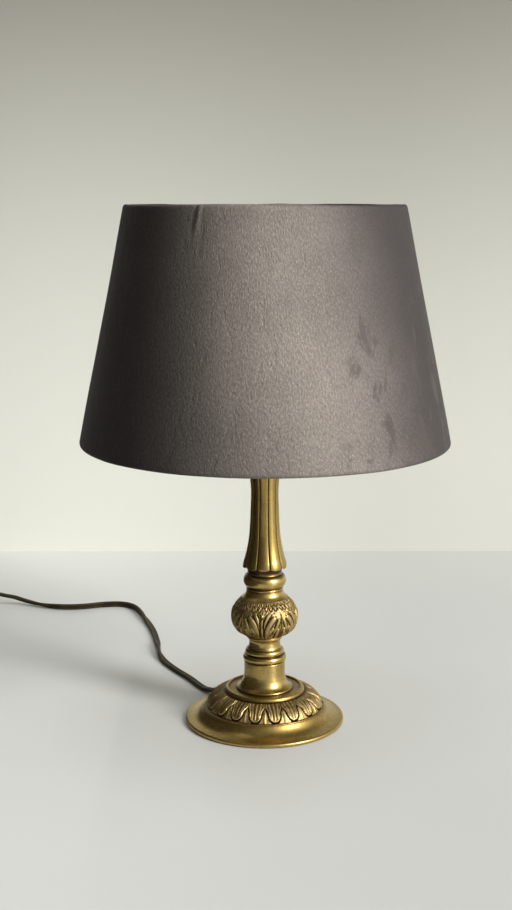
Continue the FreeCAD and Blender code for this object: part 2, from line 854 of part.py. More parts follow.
GLASS_BELLY_SHARE = 0.42
GLASS_TIP_SHARE = 0.2
GLASS_NECK_SWEEP = 30.0
GLASS_CROWN_SWEEP = 34.0
GLASS_TIP_SWEEP = 90.0
glass_belly = s.glass_length * GLASS_BELLY_SHARE
glass_tip_radius = s.glass_radius * GLASS_TIP_SHARE
glass_shoulder = s.glass_length - glass_tip_radius
lathe("bulb_glass", [
    (s.glass_neck_radius - s.glass_wall, -s.glass_neck_length),
    (s.glass_neck_radius, -s.glass_neck_length),
    (s.glass_neck_radius, ZERO, GLASS_NECK_SWEEP),
    (s.glass_radius, glass_belly, GLASS_CROWN_SWEEP),
    (glass_tip_radius, glass_shoulder, GLASS_TIP_SWEEP),
    (ZERO, s.glass_length),
    (ZERO, s.glass_length - s.glass_wall, -GLASS_TIP_SWEEP),
    (glass_tip_radius - s.glass_wall, glass_shoulder, -GLASS_CROWN_SWEEP),
    (s.glass_radius - s.glass_wall, glass_belly, -GLASS_NECK_SWEEP),
    (s.glass_neck_radius - s.glass_wall, ZERO),
], glass_level)

mount_height_share = 0.3
mount_height = s.glass_length * mount_height_share
mount_foot_radius = s.glass_neck_radius - s.glass_wall - s.glass_gap
lathe("filament_stem", [
    (ZERO, -s.glass_neck_length),
    (mount_foot_radius, -s.glass_neck_length),
    (s.mount_radius, ZERO),
    (s.mount_radius, mount_height),
    (s.filament_circle + s.filament_radius, mount_height),
    (s.filament_circle + s.filament_radius, mount_height + s.edge_break * 2),
    (ZERO, mount_height + s.edge_break * 2),
], glass_level)

filaments = []
filament_level = glass_level + mount_height + s.edge_break * 2
for index in range(int(s.filament_count.value)):
    rod = doc.addObject("Part::Cylinder", f"filament_{index + 1}")
    rod.setExpression("Radius", s.filament_radius.text)
    rod.setExpression("Height", s.filament_length.text)
    angle = 2 * math.pi * index / s.filament_count.value
    rod.Placement = FreeCAD.Placement(
        VEC(s.filament_circle.value * math.cos(angle), s.filament_circle.value * math.sin(angle),
            filament_level.value), FreeCAD.Rotation())
    filaments.append(rod)
group("filaments", filaments)

# Shade: cover with a hem rolled round each wire, liner, wires, arms and carrier ring

hem_outer = wire_inset
hem_inner = s.wire_radius + s.shade_fit / 2
arm_turn = FreeCAD.Rotation(UP, s.arm_azimuth.value)


def off_wire(wire_radius, wire_level, distance, angle):
    """The point at a distance from a wire's middle, at an angle above the outward direction."""
    return (wire_radius + distance * cosine(angle), wire_level + distance * sine(angle))


half_turn = Size("180 deg", FULL_TURN / 2)
slope_bottom_sweep = (slope.value + 180.0) / 2
slope_top_sweep = (180.0 - slope.value) / 2
mid_bottom = (slope - half_turn) / 2
mid_top = (slope + half_turn) / 2
shade_cover = new_body("shade_cover")
turn_profile(shade_cover, "cover_turned", [
    (*off_wire(bottom_wire_radius, bottom_wire_level, hem_inner, -half_turn), slope_bottom_sweep),
    (*off_wire(bottom_wire_radius, bottom_wire_level, hem_inner, mid_bottom), slope_bottom_sweep),
    off_wire(bottom_wire_radius, bottom_wire_level, hem_inner, slope),
    (*off_wire(top_wire_radius, top_wire_level, hem_inner, slope), slope_top_sweep),
    (*off_wire(top_wire_radius, top_wire_level, hem_inner, mid_top), slope_top_sweep),
    off_wire(top_wire_radius, top_wire_level, hem_inner, half_turn),
    (*off_wire(top_wire_radius, top_wire_level, hem_outer, half_turn), -slope_top_sweep),
    (*off_wire(top_wire_radius, top_wire_level, hem_outer, mid_top), -slope_top_sweep),
    off_wire(top_wire_radius, top_wire_level, hem_outer, slope),
    (*off_wire(bottom_wire_radius, bottom_wire_level, hem_outer, slope), -slope_bottom_sweep),
    (*off_wire(bottom_wire_radius, bottom_wire_level, hem_outer, mid_bottom), -slope_bottom_sweep),
    off_wire(bottom_wire_radius, bottom_wire_level, hem_outer, -half_turn),
])
arm_inner = s.carrier_radius + s.shade_fit
arm_outer = bottom_wire_radius - s.wire_radius - s.shade_fit
arm_rise = carrier_level + s.carrier_thickness / 2 - shade_level - bottom_wire_level
arm_slope = arctangent(arm_rise, arm_outer - arm_inner)
arm_length = (arm_outer - arm_inner) / cosine(arm_slope)
arm_direction = FreeCAD.Rotation(ALONG_Y, 90 + arm_slope.value)
hem_notch = drill(shade_cover, "hem_notch", s.arm_radius + s.arm_clearance, s.wire_radius * 4,
                  VEC((arm_outer - s.wire_radius * 3).value, 0,
                      (bottom_wire_level + s.wire_radius * 3 * arm_rise / (arm_outer - arm_inner)).value),
                  arm_direction)
repeat_round(shade_cover, [hem_notch], "hem_notches", s.arm_count)
place(shade_cover, z=shade_level, turn=arm_turn)

liner_outer = hem_inner - s.shade_fit / 2
liner_inner = liner_outer - s.liner_thickness
liner_trim = s.wire_radius * 2
liner_drop = bottom_wire_radius - top_wire_radius
liner_span = top_wire_level - bottom_wire_level


def on_slope(distance, height):
    """Radius and level of the shade's slanted wall at a height over its bottom wire."""
    radius = bottom_wire_radius + distance / cosine(slope) - height * (liner_drop / liner_span)
    return (radius, bottom_wire_level + height)


lathe("shade_liner", [
    on_slope(liner_inner, liner_trim),
    on_slope(liner_outer, liner_trim),
    on_slope(liner_outer, liner_span - liner_trim),
    on_slope(liner_inner, liner_span - liner_trim),
], shade_level)


def wire_ring(name, radius, level):
    """A ring of round wire."""
    ring = doc.addObject("Part::Torus", name)
    ring.Label = name
    ring.setExpression("Radius1", radius.text)
    ring.setExpression("Radius2", s.wire_radius.text)
    place(ring, z=level)
    parts.append(ring)


wire_ring("top_wire_ring", top_wire_radius, shade_level + top_wire_level)
wire_ring("bottom_wire_ring", bottom_wire_radius, shade_level + bottom_wire_level)

arms = []
for index in range(int(s.arm_count.value)):
    arm = doc.addObject("Part::Cylinder", f"arm_{index + 1}")
    arm.setExpression("Radius", s.arm_radius.text)
    arm.setExpression("Height", arm_length.text)
    azimuth = s.arm_azimuth.value + FULL_TURN * index / s.arm_count.value
    swing = FreeCAD.Rotation(UP, azimuth)
    start = swing.multVec(VEC(arm_inner.value, 0, (carrier_level + s.carrier_thickness / 2).value))
    arm.Placement = FreeCAD.Placement(start, swing * arm_direction)
    arms.append(arm)
group("spider_arms", arms)

carrier_bore = s.skirt_radius + s.carrier_gap
lathe("carrier_ring", [
    (carrier_bore, ZERO), (s.carrier_radius, ZERO),
    (s.carrier_radius, s.carrier_thickness), (carrier_bore, s.carrier_thickness),
], carrier_level)

# Cords: straight runs joined by tangent arcs, and a coil on pairs of arcs


def route_path(points):
    """Wire of runs and tangent arcs through a route; prints each arc's radius."""
    share = 0.45
    edges, radii = [], []
    here = points[0]
    for before, corner, after in zip(points, points[1:], points[2:]):
        back, ahead = before - corner, after - corner
        reach = share * min(back.Length, ahead.Length)
        back.normalize()
        ahead.normalize()
        half = (math.pi - back.getAngle(ahead)) / 2
        entry, leave = corner + back * reach, corner + ahead * reach
        radius = reach / math.tan(half)
        inward = (back + ahead).normalize()
        middle = corner + inward * (radius / math.cos(half) - radius)
        edges += [Part.LineSegment(here, entry).toShape(), Part.Arc(entry, middle, leave).toShape()]
        radii.append(radius)
        here = leave
    edges.append(Part.LineSegment(here, points[-1]).toShape())
    if radii:
        print("arc radii", [round(r, 1) for r in radii])
    return Part.Wire(edges)


def tube_along(name, path, radius):
    """Round tube along a wire, with its volume compared with section times length."""
    start = path.OrderedVertexes[0].Point
    first = path.OrderedEdges[0]
    forward = first.tangentAt(first.FirstParameter)
    if first.Orientation == "Reversed":
        forward = -first.tangentAt(first.LastParameter)
    section = Part.Wire([Part.Circle(start, forward, radius).toShape()])
    solid = path.makePipeShell([section], True, False)
    expected = math.pi * radius ** 2 * path.Length
    print(name, "length", round(path.Length, 1), "volume over expected", round(solid.Volume / expected, 4))
    return solid_piece(name, solid)


# The lead inside the foot, as distance from the axis and level: bush, over the felt, up the tube
lead_level = cord_radius + s.felt_thickness + s.felt_gap * 2
lead_end = block_level - s.block_gap * 6
lead_route = [
    (bushing_reach, bushing_level),
    (bushing_reach - s.bushing_length, bushing_level),
    (s.felt_notch_start, lead_level),
    (ZERO, lead_level),
    (ZERO, lead_end),
]
lead_direction = outlet_turn.multVec(ALONG_X)
lead_points = [lead_direction * reach.value + UP * level.value for reach, level in lead_route]
tube_along("inner_lead", route_path(lead_points), cord_radius.value)

to_switch = [VEC(*point) for point in ROUTE_TO_SWITCH]
tube_along("cord_to_switch", route_path(to_switch), cord_radius.value)


CLIMB_TURNS = 0.5
QUARTER = 0.25


def coil_point(turn):
    """Middle line of the coil: in on the lower layer, up half a turn, and out on the upper."""
    turns_in = s.coil_turns.value
    pitch = s.coil_pitch.value
    outer = s.coil_mean_radius.value + pitch * turns_in / 2
    climb = min(max((turn - turns_in) / CLIMB_TURNS, 0.0), 1.0)
    rise = climb * climb * (3 - 2 * climb)
    reverse = turns_in + CLIMB_TURNS / 2
    radius = outer - pitch * (reverse - abs(turn - reverse))
    angle = math.pi + 2 * math.pi * turn
    level = coil_level.value + pitch * rise
    return VEC(s.coil_x.value + radius * math.cos(angle), s.coil_y.value + radius * math.sin(angle), level)


def coil_tangent(turn):
    """Direction of the middle line, from two points close on either side."""
    step = 1e-4
    return (coil_point(turn + step) - coil_point(turn - step)).normalize()


def biarc(start, start_way, end, end_way):
    """Two arcs that leave one point along its direction and reach another along its own."""
    chord = end - start
    both = start_way + end_way
    lead = 2 * (1 - start_way.dot(end_way))
    cross = chord.dot(both)
    reach = (-cross + math.sqrt(cross ** 2 + lead * chord.dot(chord))) / lead
    joint = (start + start_way * reach + end - end_way * reach) / 2
    arcs = []
    for one, way, other in ((start, start_way, joint), (end, -end_way, joint)):
        span = other - one
        normal = way.cross(span).normalize()
        toward = normal.cross(way).normalize()
        radius = span.Length ** 2 / (2 * span.dot(toward))
        centre = one + toward * radius
        outward = ((one + other) / 2 - centre).normalize()
        arcs.append((one, centre + outward * radius, other))
    return [Part.Arc(*arcs[0]).toShape(), Part.Arc(*reversed(arcs[1])).toShape()]


coil_level = cord_radius + s.tie_thickness + s.tie_gap
coil_total = (s.coil_turns + s.coil_out_turns).value + CLIMB_TURNS
coil_stops = [QUARTER * i for i in range(int(round(coil_total / QUARTER)) + 1)]
coil_edges = []
for first, last in zip(coil_stops, coil_stops[1:]):
    coil_edges += biarc(coil_point(first), coil_tangent(first), coil_point(last), coil_tangent(last))
tube_along("cord_coil", Part.Wire(coil_edges), cord_radius.value)


def least_gap():
    """Smallest gap between the coil's turns, measured on points of the middle line."""
    steps = 72
    turns = [i / steps for i in range(int(coil_total * steps) + 1)]
    spots = [coil_point(t) for t in turns]
    apart = min(
        spots[i].distanceToPoint(spots[j])
        for i in range(len(spots)) for j in range(i + steps * 2 // 3, len(spots))
    )
    return apart - s.cord_diameter.value


print("least gap of the coil to itself", round(least_gap(), 2))

coil_start, coil_end = coil_point(0.0), coil_point(coil_total)
to_coil = [VEC(*point) for point in ROUTE_TO_COIL] + [coil_start]
tube_along("cord_to_coil", route_path(to_coil), cord_radius.value)
to_plug = [coil_end] + [VEC(*point) for point in ROUTE_TO_PLUG]
tube_along("cord_to_plug", route_path(to_plug), cord_radius.value)

# Tie round the coil's bundle: a flat band, on the side away from the cord's ends

coil_inside = s.coil_mean_radius - s.coil_pitch * s.coil_turns / 2 - cord_radius
bundle_in = coil_inside * cosine(arctangent(s.tie_width / 2, coil_inside)) - s.tie_gap
bundle_out = (s.coil_mean_radius + s.coil_pitch * (s.coil_turns - CLIMB_TURNS * 2) / 2
              + cord_radius + s.tie_gap)
bundle_top = coil_level + s.coil_pitch + cord_radius + s.tie_gap
cord_tie = new_body("cord_tie")
block(cord_tie, "tie_band", (bundle_out - bundle_in + s.tie_thickness * 2, s.tie_width,
                             bundle_top + s.tie_thickness),
      (bundle_in - s.tie_thickness, -(s.tie_width / 2), ZERO))
block(cord_tie, "tie_opening", (bundle_out - bundle_in, s.tie_width, bundle_top - s.tie_thickness),
      (bundle_in, -(s.tie_width / 2), s.tie_thickness), cut=True)
place(cord_tie, s.coil_x, s.coil_y)

# In-line switch: two shells that meet at the cord's middle, a rocker on a cross pin, contacts, screws

cord_hole = cord_radius + s.cord_clearance
half_length, half_width = s.switch_length / 2, s.switch_width / 2


def switch_shell(name, top):
    """One half of the housing, its corners rounded, hollow, with the cord's holes at the seam."""
    body = new_body(name)
    block(body, f"{name}_block", (s.switch_length, s.switch_width, s.switch_half_height),
          (-half_length, -half_width, ZERO))
    round_edges(body, f"{name}_corners", s.switch_corner, is_upright)
    outer_level = s.switch_half_height.value if top else 0.0
    outer_round = s.switch_top_round if top else s.switch_base_round
    round_edges(body, f"{name}_edge", outer_round, edge_lies_at(outer_level))
    floor = ZERO if top else s.switch_wall
    block(body, f"{name}_hollow",
          (s.cavity_length, s.cavity_width, s.switch_half_height - s.switch_wall),
          (-(s.cavity_length / 2), -(s.cavity_width / 2), floor), cut=True)
    seam = 0.0 if top else s.switch_half_height.value
    drill(body, f"{name}_cord_hole", cord_hole, s.switch_length,
          VEC(-half_length.value, 0, seam), toward_x)
    place(body, s.switch_x, s.switch_y, switch_level if top else ZERO)
    return body


switch_base = switch_shell("switch_base", False)
screw_x, screw_y = half_length - s.screw_inset, half_width - s.screw_inset
screw_spots = [(screw_x, screw_y), (-screw_x, -screw_y)]
for index, (x, y) in enumerate(screw_spots, 1):
    drill(switch_base, f"screw_hole_{index}", s.screw_radius + s.screw_gap, s.switch_half_height,
          VEC(x.value, y.value, 0))
    drill(switch_base, f"screw_recess_{index}", s.screw_head_radius + s.screw_gap,
          s.screw_head_depth + s.screw_gap, VEC(x.value, y.value, 0))

switch_cover = switch_shell("switch_cover", True)
pivot_level = s.switch_half_height - s.pivot_depth
cheek_top = s.switch_half_height - s.switch_wall
cheek_drop = s.pivot_depth + s.pivot_radius * 2
slot_half_length = s.rocker_radius + s.rocker_gap
slot_half_width = s.rocker_width / 2 + s.rocker_gap
for index, side in enumerate((1, -1)):
    low = slot_half_width if side > 0 else -(slot_half_width + s.cheek_thickness)
    block(switch_cover, f"cheek_{index + 1}",
          (s.cheek_length, s.cheek_thickness, cheek_drop - s.switch_wall / 2),
          (-(s.cheek_length / 2), low, s.switch_half_height - cheek_drop))
block(switch_cover, "rocker_slot",
      (slot_half_length * 2, slot_half_width * 2, s.switch_half_height),
      (-slot_half_length, -slot_half_width, ZERO), cut=True)
sideways = FreeCAD.Rotation(ALONG_X, -90)
pin_half = slot_half_width + s.cheek_thickness
drill(switch_cover, "pivot_hole", s.pivot_radius + s.pivot_gap, pin_half * 2,
      VEC(0, -pin_half.value, pivot_level.value), sideways)
for index, (x, y) in enumerate(screw_spots, 1):
    drill(switch_cover, f"screw_thread_{index}", s.screw_radius + s.screw_gap,
          s.screw_length - s.switch_half_height + s.screw_head_depth + s.screw_gap * 2,
          VEC(x.value, y.value, 0))

rocker_round_share = 0.55
rocker_end_share = 0.97
rocker_keel_share = 1.4
rocker_crown_share = 1.15
rocker_end = s.rocker_radius * rocker_end_share
rocker_keel = -s.pivot_radius * rocker_keel_share
switch_rocker = new_body("switch_rocker")
rocker_sketch = new_sketch(switch_rocker, "rocker_outline", "XZ_Plane")
draw_outline(rocker_sketch, [
    (-(s.rocker_radius * rocker_round_share), rocker_keel),
    (s.rocker_radius * rocker_round_share, rocker_keel),
    (rocker_end, ZERO),
    (rocker_end, s.rocker_rise),
    (ZERO, s.rocker_rise * rocker_crown_share),
    (-rocker_end, s.rocker_rise),
    (-rocker_end, ZERO),
])
rocker_pad = switch_rocker.newObject("PartDesign::Pad", "rocker_pad")
rocker_pad.Profile = rocker_sketch
rocker_pad.setExpression("Length", s.rocker_width.text)
rocker_pad.Midplane = True
doc.recompute()
pivot = switch_rocker.newObject("PartDesign::AdditiveCylinder", "pivot_pin")
pivot.setExpression("Radius", s.pivot_radius.text)
pivot.setExpression("Height", (pin_half * 2).text)
pivot.Placement = FreeCAD.Placement(VEC(0, -pin_half.value, 0), sideways)
doc.recompute()
place(switch_rocker, s.switch_x, s.switch_y, switch_level + pivot_level,
      FreeCAD.Rotation(ALONG_Y, -s.rocker_tilt.value))

contacts = []
for index, side in enumerate((1, -1), 1):
    strip = doc.addObject("Part::Box", f"contact_{index}")
    strip.setExpression("Length", s.switch_contact_length.text)
    strip.setExpression("Width", s.switch_contact_width.text)
    strip.setExpression("Height", s.switch_contact_thickness.text)
    strip.Placement = FreeCAD.Placement(
        VEC(s.switch_x.value - s.switch_contact_length.value / 2,
            s.switch_y.value + side * s.cavity_width.value / 4 - s.switch_contact_width.value / 2,
            s.switch_wall.value), FreeCAD.Rotation())
    contacts.append(strip)
group("switch_contacts", contacts)


def screw_shape(x, y):
    """A countersunk-style screw from below: flat head and shank."""
    head = Part.makeCylinder(s.screw_head_radius.value, s.screw_head_depth.value)
    shank = Part.makeCylinder(s.screw_radius.value, s.screw_length.value)
    screw = head.fuse(shank).removeSplitter()
    screw.translate(VEC(x, y, s.screw_gap.value))
    return screw


solid_piece("switch_screws", Part.Compound([
    screw_shape(s.switch_x.value + x.value, s.switch_y.value + y.value) for x, y in screw_spots]))

# Plug: flat two-pin plug with a tapered boot; its own +X is the way the pins point

plug_axis = s.plug_height / 2
plug_turn = FreeCAD.Rotation(UP, -90)
plug_end = VEC(*ROUTE_TO_PLUG[-1])
boot_end = -(s.plug_length + s.boot_length)
plug_place = FreeCAD.Placement(
    VEC(plug_end.x, plug_end.y + (boot_end + s.cord_grip).value, 0), plug_turn)
plug_body = new_body("plug_body")
plug_sketch = new_sketch(plug_body, "plug_outline", "XY_Plane")
plug_half, tail_half = s.plug_width / 2, s.plug_tail_width / 2
draw_outline(plug_sketch, [
    (ZERO, -plug_half), (ZERO, plug_half), (-s.plug_front, plug_half),
    (-s.plug_length, tail_half), (-s.plug_length, -tail_half), (-s.plug_front, -plug_half),
])
plug_pad = plug_body.newObject("PartDesign::Pad", "plug_pad")
plug_pad.Profile = plug_sketch
plug_pad.setExpression("Length", s.plug_height.text)
doc.recompute()
round_edges(plug_body, "plug_edges", s.plug_round, lambda edge: True)
boot = plug_body.newObject("PartDesign::AdditiveCone", "boot")
boot.setExpression("Radius1", s.boot_tip_radius.text)
boot.setExpression("Radius2", s.boot_root_radius.text)
boot.setExpression("Height", (s.boot_length + s.plug_round).text)
boot.Placement = FreeCAD.Placement(VEC(boot_end.value, 0, plug_axis.value), toward_x)
doc.recompute()
drill(plug_body, "boot_bore", cord_hole, s.cord_grip, VEC(boot_end.value, 0, plug_axis.value), toward_x)
pin_hole = s.pin_radius + s.sleeve_gap
pin_spots = [s.pin_spacing / 2, -(s.pin_spacing / 2)]
for index, offset in enumerate(pin_spots, 1):
    drill(plug_body, f"pin_seat_{index}", pin_hole, s.pin_root,
          VEC(-s.pin_root.value, offset.value, plug_axis.value), toward_x)
plug_body.Placement = plug_place


def pin_seat(offset):
    """Where a pin starts, in the plug's own frame."""
    return FreeCAD.Placement(VEC(-s.pin_root.value, offset.value, plug_axis.value), toward_x)


def pin_shape(offset):
    """One pin: thin core in the plug and the sleeve, full size at its free end."""
    core = Part.makeCylinder(s.pin_core_radius.value, (s.pin_root + s.pin_length).value)
    free = Part.makeCylinder(s.pin_radius.value, (s.pin_length - s.sleeve_length).value,
                             VEC(0, 0, (s.pin_root + s.sleeve_length).value))
    pin = core.fuse(free).removeSplitter()
    pin.Placement = plug_place * pin_seat(offset)
    return pin


def sleeve_shape(offset):
    """The insulating sleeve on one pin, from its seat in the plug."""
    length = (s.pin_root + s.sleeve_length - s.sleeve_gap).value
    outer = Part.makeCylinder(s.sleeve_radius.value, length)
    inner = Part.makeCylinder((s.pin_core_radius + s.sleeve_gap).value, length)
    sleeve = outer.cut(inner)
    sleeve.Placement = plug_place * pin_seat(offset)
    return sleeve


solid_piece("plug_pins", Part.Compound([pin_shape(offset) for offset in pin_spots]))
solid_piece("pin_sleeves", Part.Compound([sleeve_shape(offset) for offset in pin_spots]))

# Checks, then one file for each piece

doc.recompute()
for item in doc.Objects:
    if "Invalid" in item.State or "Error" in item.State:
        raise RuntimeError(f"{item.Name} failed: {item.State}")
for piece in parts:
    shape = piece.Shape
    if shape.isNull() or not shape.isValid() or not shape.Solids:
        raise RuntimeError(f"{piece.Label} has no valid solid")
os.makedirs("parts", exist_ok=True)
for piece in parts:
    piece.Shape.exportStep(f"parts/{piece.Label}.step")
    box = piece.Shape.BoundBox
    print(f"{piece.Label:18s} solids {len(piece.Shape.Solids)} z {box.ZMin:8.2f} {box.ZMax:8.2f}"
          f" volume {piece.Shape.Volume:10.1f}")
print(len(parts), "pieces")
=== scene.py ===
"""Studio scene of a table lamp: a cast brass candlestick, a cone shade of velvet and a flat twin cord.

Sizes inside the classes are in millimetres and angles in degrees; meshes are made in metres. The
lamp stands on the table plane, its axis is +Z, and the viewer is on the -Y side.
"""

from __future__ import annotations

import json
import logging
import math
from collections.abc import Callable, Sequence
from dataclasses import dataclass, field
from enum import Enum
from functools import cached_property
from typing import NamedTuple

import bmesh
import bpy
from mathutils import Matrix, Vector, noise

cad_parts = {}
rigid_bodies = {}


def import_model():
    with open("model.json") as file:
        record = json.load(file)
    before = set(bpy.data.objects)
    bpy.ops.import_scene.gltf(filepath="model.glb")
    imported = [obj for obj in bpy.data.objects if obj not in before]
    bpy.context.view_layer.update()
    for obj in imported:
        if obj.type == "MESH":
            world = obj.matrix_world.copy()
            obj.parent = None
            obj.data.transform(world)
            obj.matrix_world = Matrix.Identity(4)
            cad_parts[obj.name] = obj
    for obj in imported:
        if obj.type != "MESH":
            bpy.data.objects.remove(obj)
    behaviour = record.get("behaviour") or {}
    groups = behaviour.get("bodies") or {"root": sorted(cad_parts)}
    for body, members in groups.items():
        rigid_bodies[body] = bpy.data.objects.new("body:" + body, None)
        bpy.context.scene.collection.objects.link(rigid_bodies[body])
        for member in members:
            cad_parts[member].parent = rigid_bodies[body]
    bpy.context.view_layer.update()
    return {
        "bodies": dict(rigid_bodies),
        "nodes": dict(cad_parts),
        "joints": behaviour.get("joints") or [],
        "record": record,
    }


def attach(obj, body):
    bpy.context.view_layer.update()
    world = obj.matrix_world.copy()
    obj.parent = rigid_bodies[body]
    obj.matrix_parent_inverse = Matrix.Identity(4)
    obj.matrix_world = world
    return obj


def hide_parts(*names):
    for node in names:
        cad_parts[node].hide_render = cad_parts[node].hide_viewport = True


LOG = logging.getLogger("lamp")
MM = 0.001
# Millimetres within which corners are one, a corner is on the axis, and vertices merge
SAME_CORNER = 1e-6
ON_AXIS = 1e-9
SPIN_MERGE = 2e-3
SWEEP_MERGE = 1e-4
Point = tuple[float, float]
Relief = Callable[["Spot"], tuple[float, float]]
Socket = bpy.types.NodeSocket
Value = float | tuple | Socket


class Body(Enum):
    """Parts of the lamp that move as one and have pieces made here."""

    LAMP = "lamp"
    SHADE = "shade"
    RING_NUT = "ring_nut"
    BULB = "bulb"


class Slot(Enum):
    """Finishes of the pieces made here, as the record names them."""

    BRASS = "aged_brass"
    BAKELITE = "black_bakelite"
    NICKEL = "nickel"
    GLASS = "bulb_glass"
    VELVET = "velvet"
    LINING = "shade_lining"
    CORD = "cord_sheath"
    TIE = "tie_fabric"


# Small sums


def smooth(low: float, high: float, value: float) -> float:
    """Eases from 0 at low to 1 at high.

    Args:
        low: where the step starts.
        high: where it ends.
        value: where it is read.

    Returns:
        A number from 0 to 1.
    """
    share = min(max((value - low) / (high - low), 0.0), 1.0)
    return share * share * (3 - 2 * share)


def bump(value: float, middle: float, width: float) -> float:
    """Height of a soft bump of unit height at middle."""
    return math.exp(-(((value - middle) / width) ** 2))


def wrapped(angle: float, pitch: float) -> float:
    """Angle from the nearest multiple of a pitch, from minus half a pitch to plus half."""
    return (angle + pitch / 2) % pitch - pitch / 2


def curve_through(points: Sequence[Point], step: float) -> list[Point]:
    """Smooth line through points at an even spacing, made of cubics that meet smoothly at each point.

    Args:
        points: radius and level of each point.
        step: spacing of the line's own points.

    Returns:
        The line's points, first and last as given.
    """
    ends = [points[0], *points, points[-1]]
    line = [points[0]]
    for before, start, end, after in zip(ends, ends[1:], ends[2:], ends[3:]):
        count = max(1, round(math.dist(start, end) / step))
        for index in range(1, count + 1):
            t = index / count
            line.append(tuple(
                0.5 * (2 * b + (c - a) * t + (2 * a - 5 * b + 4 * c - d) * t * t
                       + (3 * b - a - 3 * c + d) * t ** 3)
                for a, b, c, d in zip(before, start, end, after)
            ))
    return line


# Turned pieces


class Spot(NamedTuple):
    """A place on a turned surface.

    Attributes:
        angle: degrees round from the front.
        along: distance along its run.
        radius: distance from the axis.
        level: height over the table.
    """

    angle: float
    along: float
    radius: float
    level: float


def spot_at(place: Vector, along: float = 0.0) -> Spot:
    """The spot at a place on a turned surface, with its distance along the run."""
    x, y, z = place
    return Spot(math.degrees(math.atan2(x, -y)), along, math.hypot(x, y), z)


@dataclass(frozen=True)
class Run:
    """One stretch of a turned outline from corner to corner.

    Attributes:
        points: radius and level of its points.
        dirt: how dark the patina is at its start, middle and end, from 0 to 1.
        carved: True where it is cut into rings, also if it is straight, for a relief or for waves.
        step: spacing of its rings.
    """

    points: tuple[Point, ...]
    dirt: tuple[float, float, float] = (0.2, 0.2, 0.2)
    carved: bool = False
    step: float = 0.7

    def rings(self) -> list[tuple[float, float, float, float]]:
        """Divides the run into rings.

        Returns:
            Radius, level, dirt and distance along the run for each; the distance is -1 if it isn't carved.
        """
        if len(self.points) == 2 and not self.carved:
            line = list(self.points)
        else:
            line = curve_through(self.points, self.step)
        travelled, total = [0.0], 0.0
        for one, two in zip(line, line[1:]):
            total += math.dist(one, two)
            travelled.append(total)
        start, middle, end = self.dirt
        rings = []
        for (radius, level), way in zip(line, travelled):
            quarters = way / total * 4
            dirt = start + (middle - start) * min(quarters, 1.0) + (end - middle) * max(quarters - 3, 0.0)
            rings.append((radius, level, dirt, way if self.carved else -1.0))
        return rings


class TurnedPiece:
    """A piece made on a lathe: a closed outline spun about Z, then carved."""

    def __init__(self, name: str, runs: Sequence[Run], steps: int, relief: Relief | None = None) -> None:
        """Spins the outline and carves it.

        Args:
            name: the piece's name.
            runs: the outline's runs in order; the last one closes on the first.
            steps: facets round the axis.
            relief: gives lift and dirt at a spot of a carved run.
        """
        self.name = name
        self.bm = bmesh.new()
        along = self.bm.verts.layers.float.new("along")
        dirt = self.bm.verts.layers.float.new("dirt")
        corners: list[bmesh.types.BMVert] = []
        for run in runs:
            for radius, level, soil, way in run.rings():
                place = Vector((radius, 0, level))
                if corners and (corners[-1].co - place).length < SAME_CORNER:
                    corners[-1][along] = max(corners[-1][along], way)
                    corners[-1][dirt] = max(corners[-1][dirt], soil)
                    continue
                vert = self.bm.verts.new(place)
                vert[along], vert[dirt] = way, soil
                corners.append(vert)
        if (corners[0].co - corners[-1].co).length < SAME_CORNER:
            self.bm.verts.remove(corners.pop())
        pairs = list(zip(corners, corners[1:]))
        if max(corners[0].co.x, corners[-1].co.x) >= ON_AXIS:
            pairs.append((corners[-1], corners[0]))
        edges = [self.bm.edges.new(pair) for pair in pairs]
        self.spin([*corners, *edges], steps)
        bmesh.ops.remove_doubles(self.bm, verts=self.bm.verts, dist=SPIN_MERGE)
        bmesh.ops.recalc_face_normals(self.bm, faces=self.bm.faces)
        if relief:
            self.carve(relief)

    def spin(self, outline: list, steps: int) -> None:
        """Spins the outline through one sector, and repeats that sector round the axis, which is quicker.

        Args:
            outline: its vertices and edges.
            steps: facets round the axis.
        """
        sectors = math.gcd(steps, 16) * (3 if steps % 9 == 0 else 1)
        turning = {"cent": (0, 0, 0), "axis": (0, 0, 1)}
        bmesh.ops.spin(
            self.bm, geom=outline, angle=2 * math.pi / sectors, steps=steps // sectors, **turning,
        )
        whole = [*self.bm.verts, *self.bm.edges, *self.bm.faces]
        bmesh.ops.spin(self.bm, geom=whole, angle=2 * math.pi, steps=sectors, use_duplicate=True, **turning)

    def carve(self, relief: Relief) -> None:
        """Moves the carved runs along their normals and notes the dirt in the hollows.

        Args:
            relief: gives lift and dirt at a spot.
        """
        along = self.bm.verts.layers.float["along"]
        dirt = self.bm.verts.layers.float["dirt"]
        carved = self.bm.verts.layers.float.new("carved")
        self.bm.normal_update()
        moves = []
        for vert in self.bm.verts:
            if vert[along] < 0:
                continue
            lift, vert[dirt] = relief(spot_at(vert.co, vert[along]))
            vert[carved] = 1.0
            moves.append((vert, vert.normal * lift))
        for vert, move in moves:
            vert.co += move

    def shift(self, rule: Callable[[Spot], tuple[float, float]]) -> None:
        """Moves every vertex outwards and upwards by a rule, both walls alike.

        Args:
            rule: gives the radial and the upward move at a spot.
        """
        for vert in self.bm.verts:
            spot = spot_at(vert.co)
            out, up = rule(spot)
            vert.co += Vector((vert.co.x / spot.radius * out, vert.co.y / spot.radius * out, up))

    def map_surface(self, radius: float) -> None:
        """Lays a UV map round the piece, in metres at a reference radius, with its seam at the back."""
        lay_map(
            self.bm, lambda vert: (math.atan2(vert.co.x, -vert.co.y) * radius * MM, vert.co.z * MM),
            2 * math.pi * radius * MM,
        )

    def done(self, sharp: float = 40.0) -> bpy.types.Object:
        """Makes the object."""
        return to_object(self.bm, self.name, sharp)


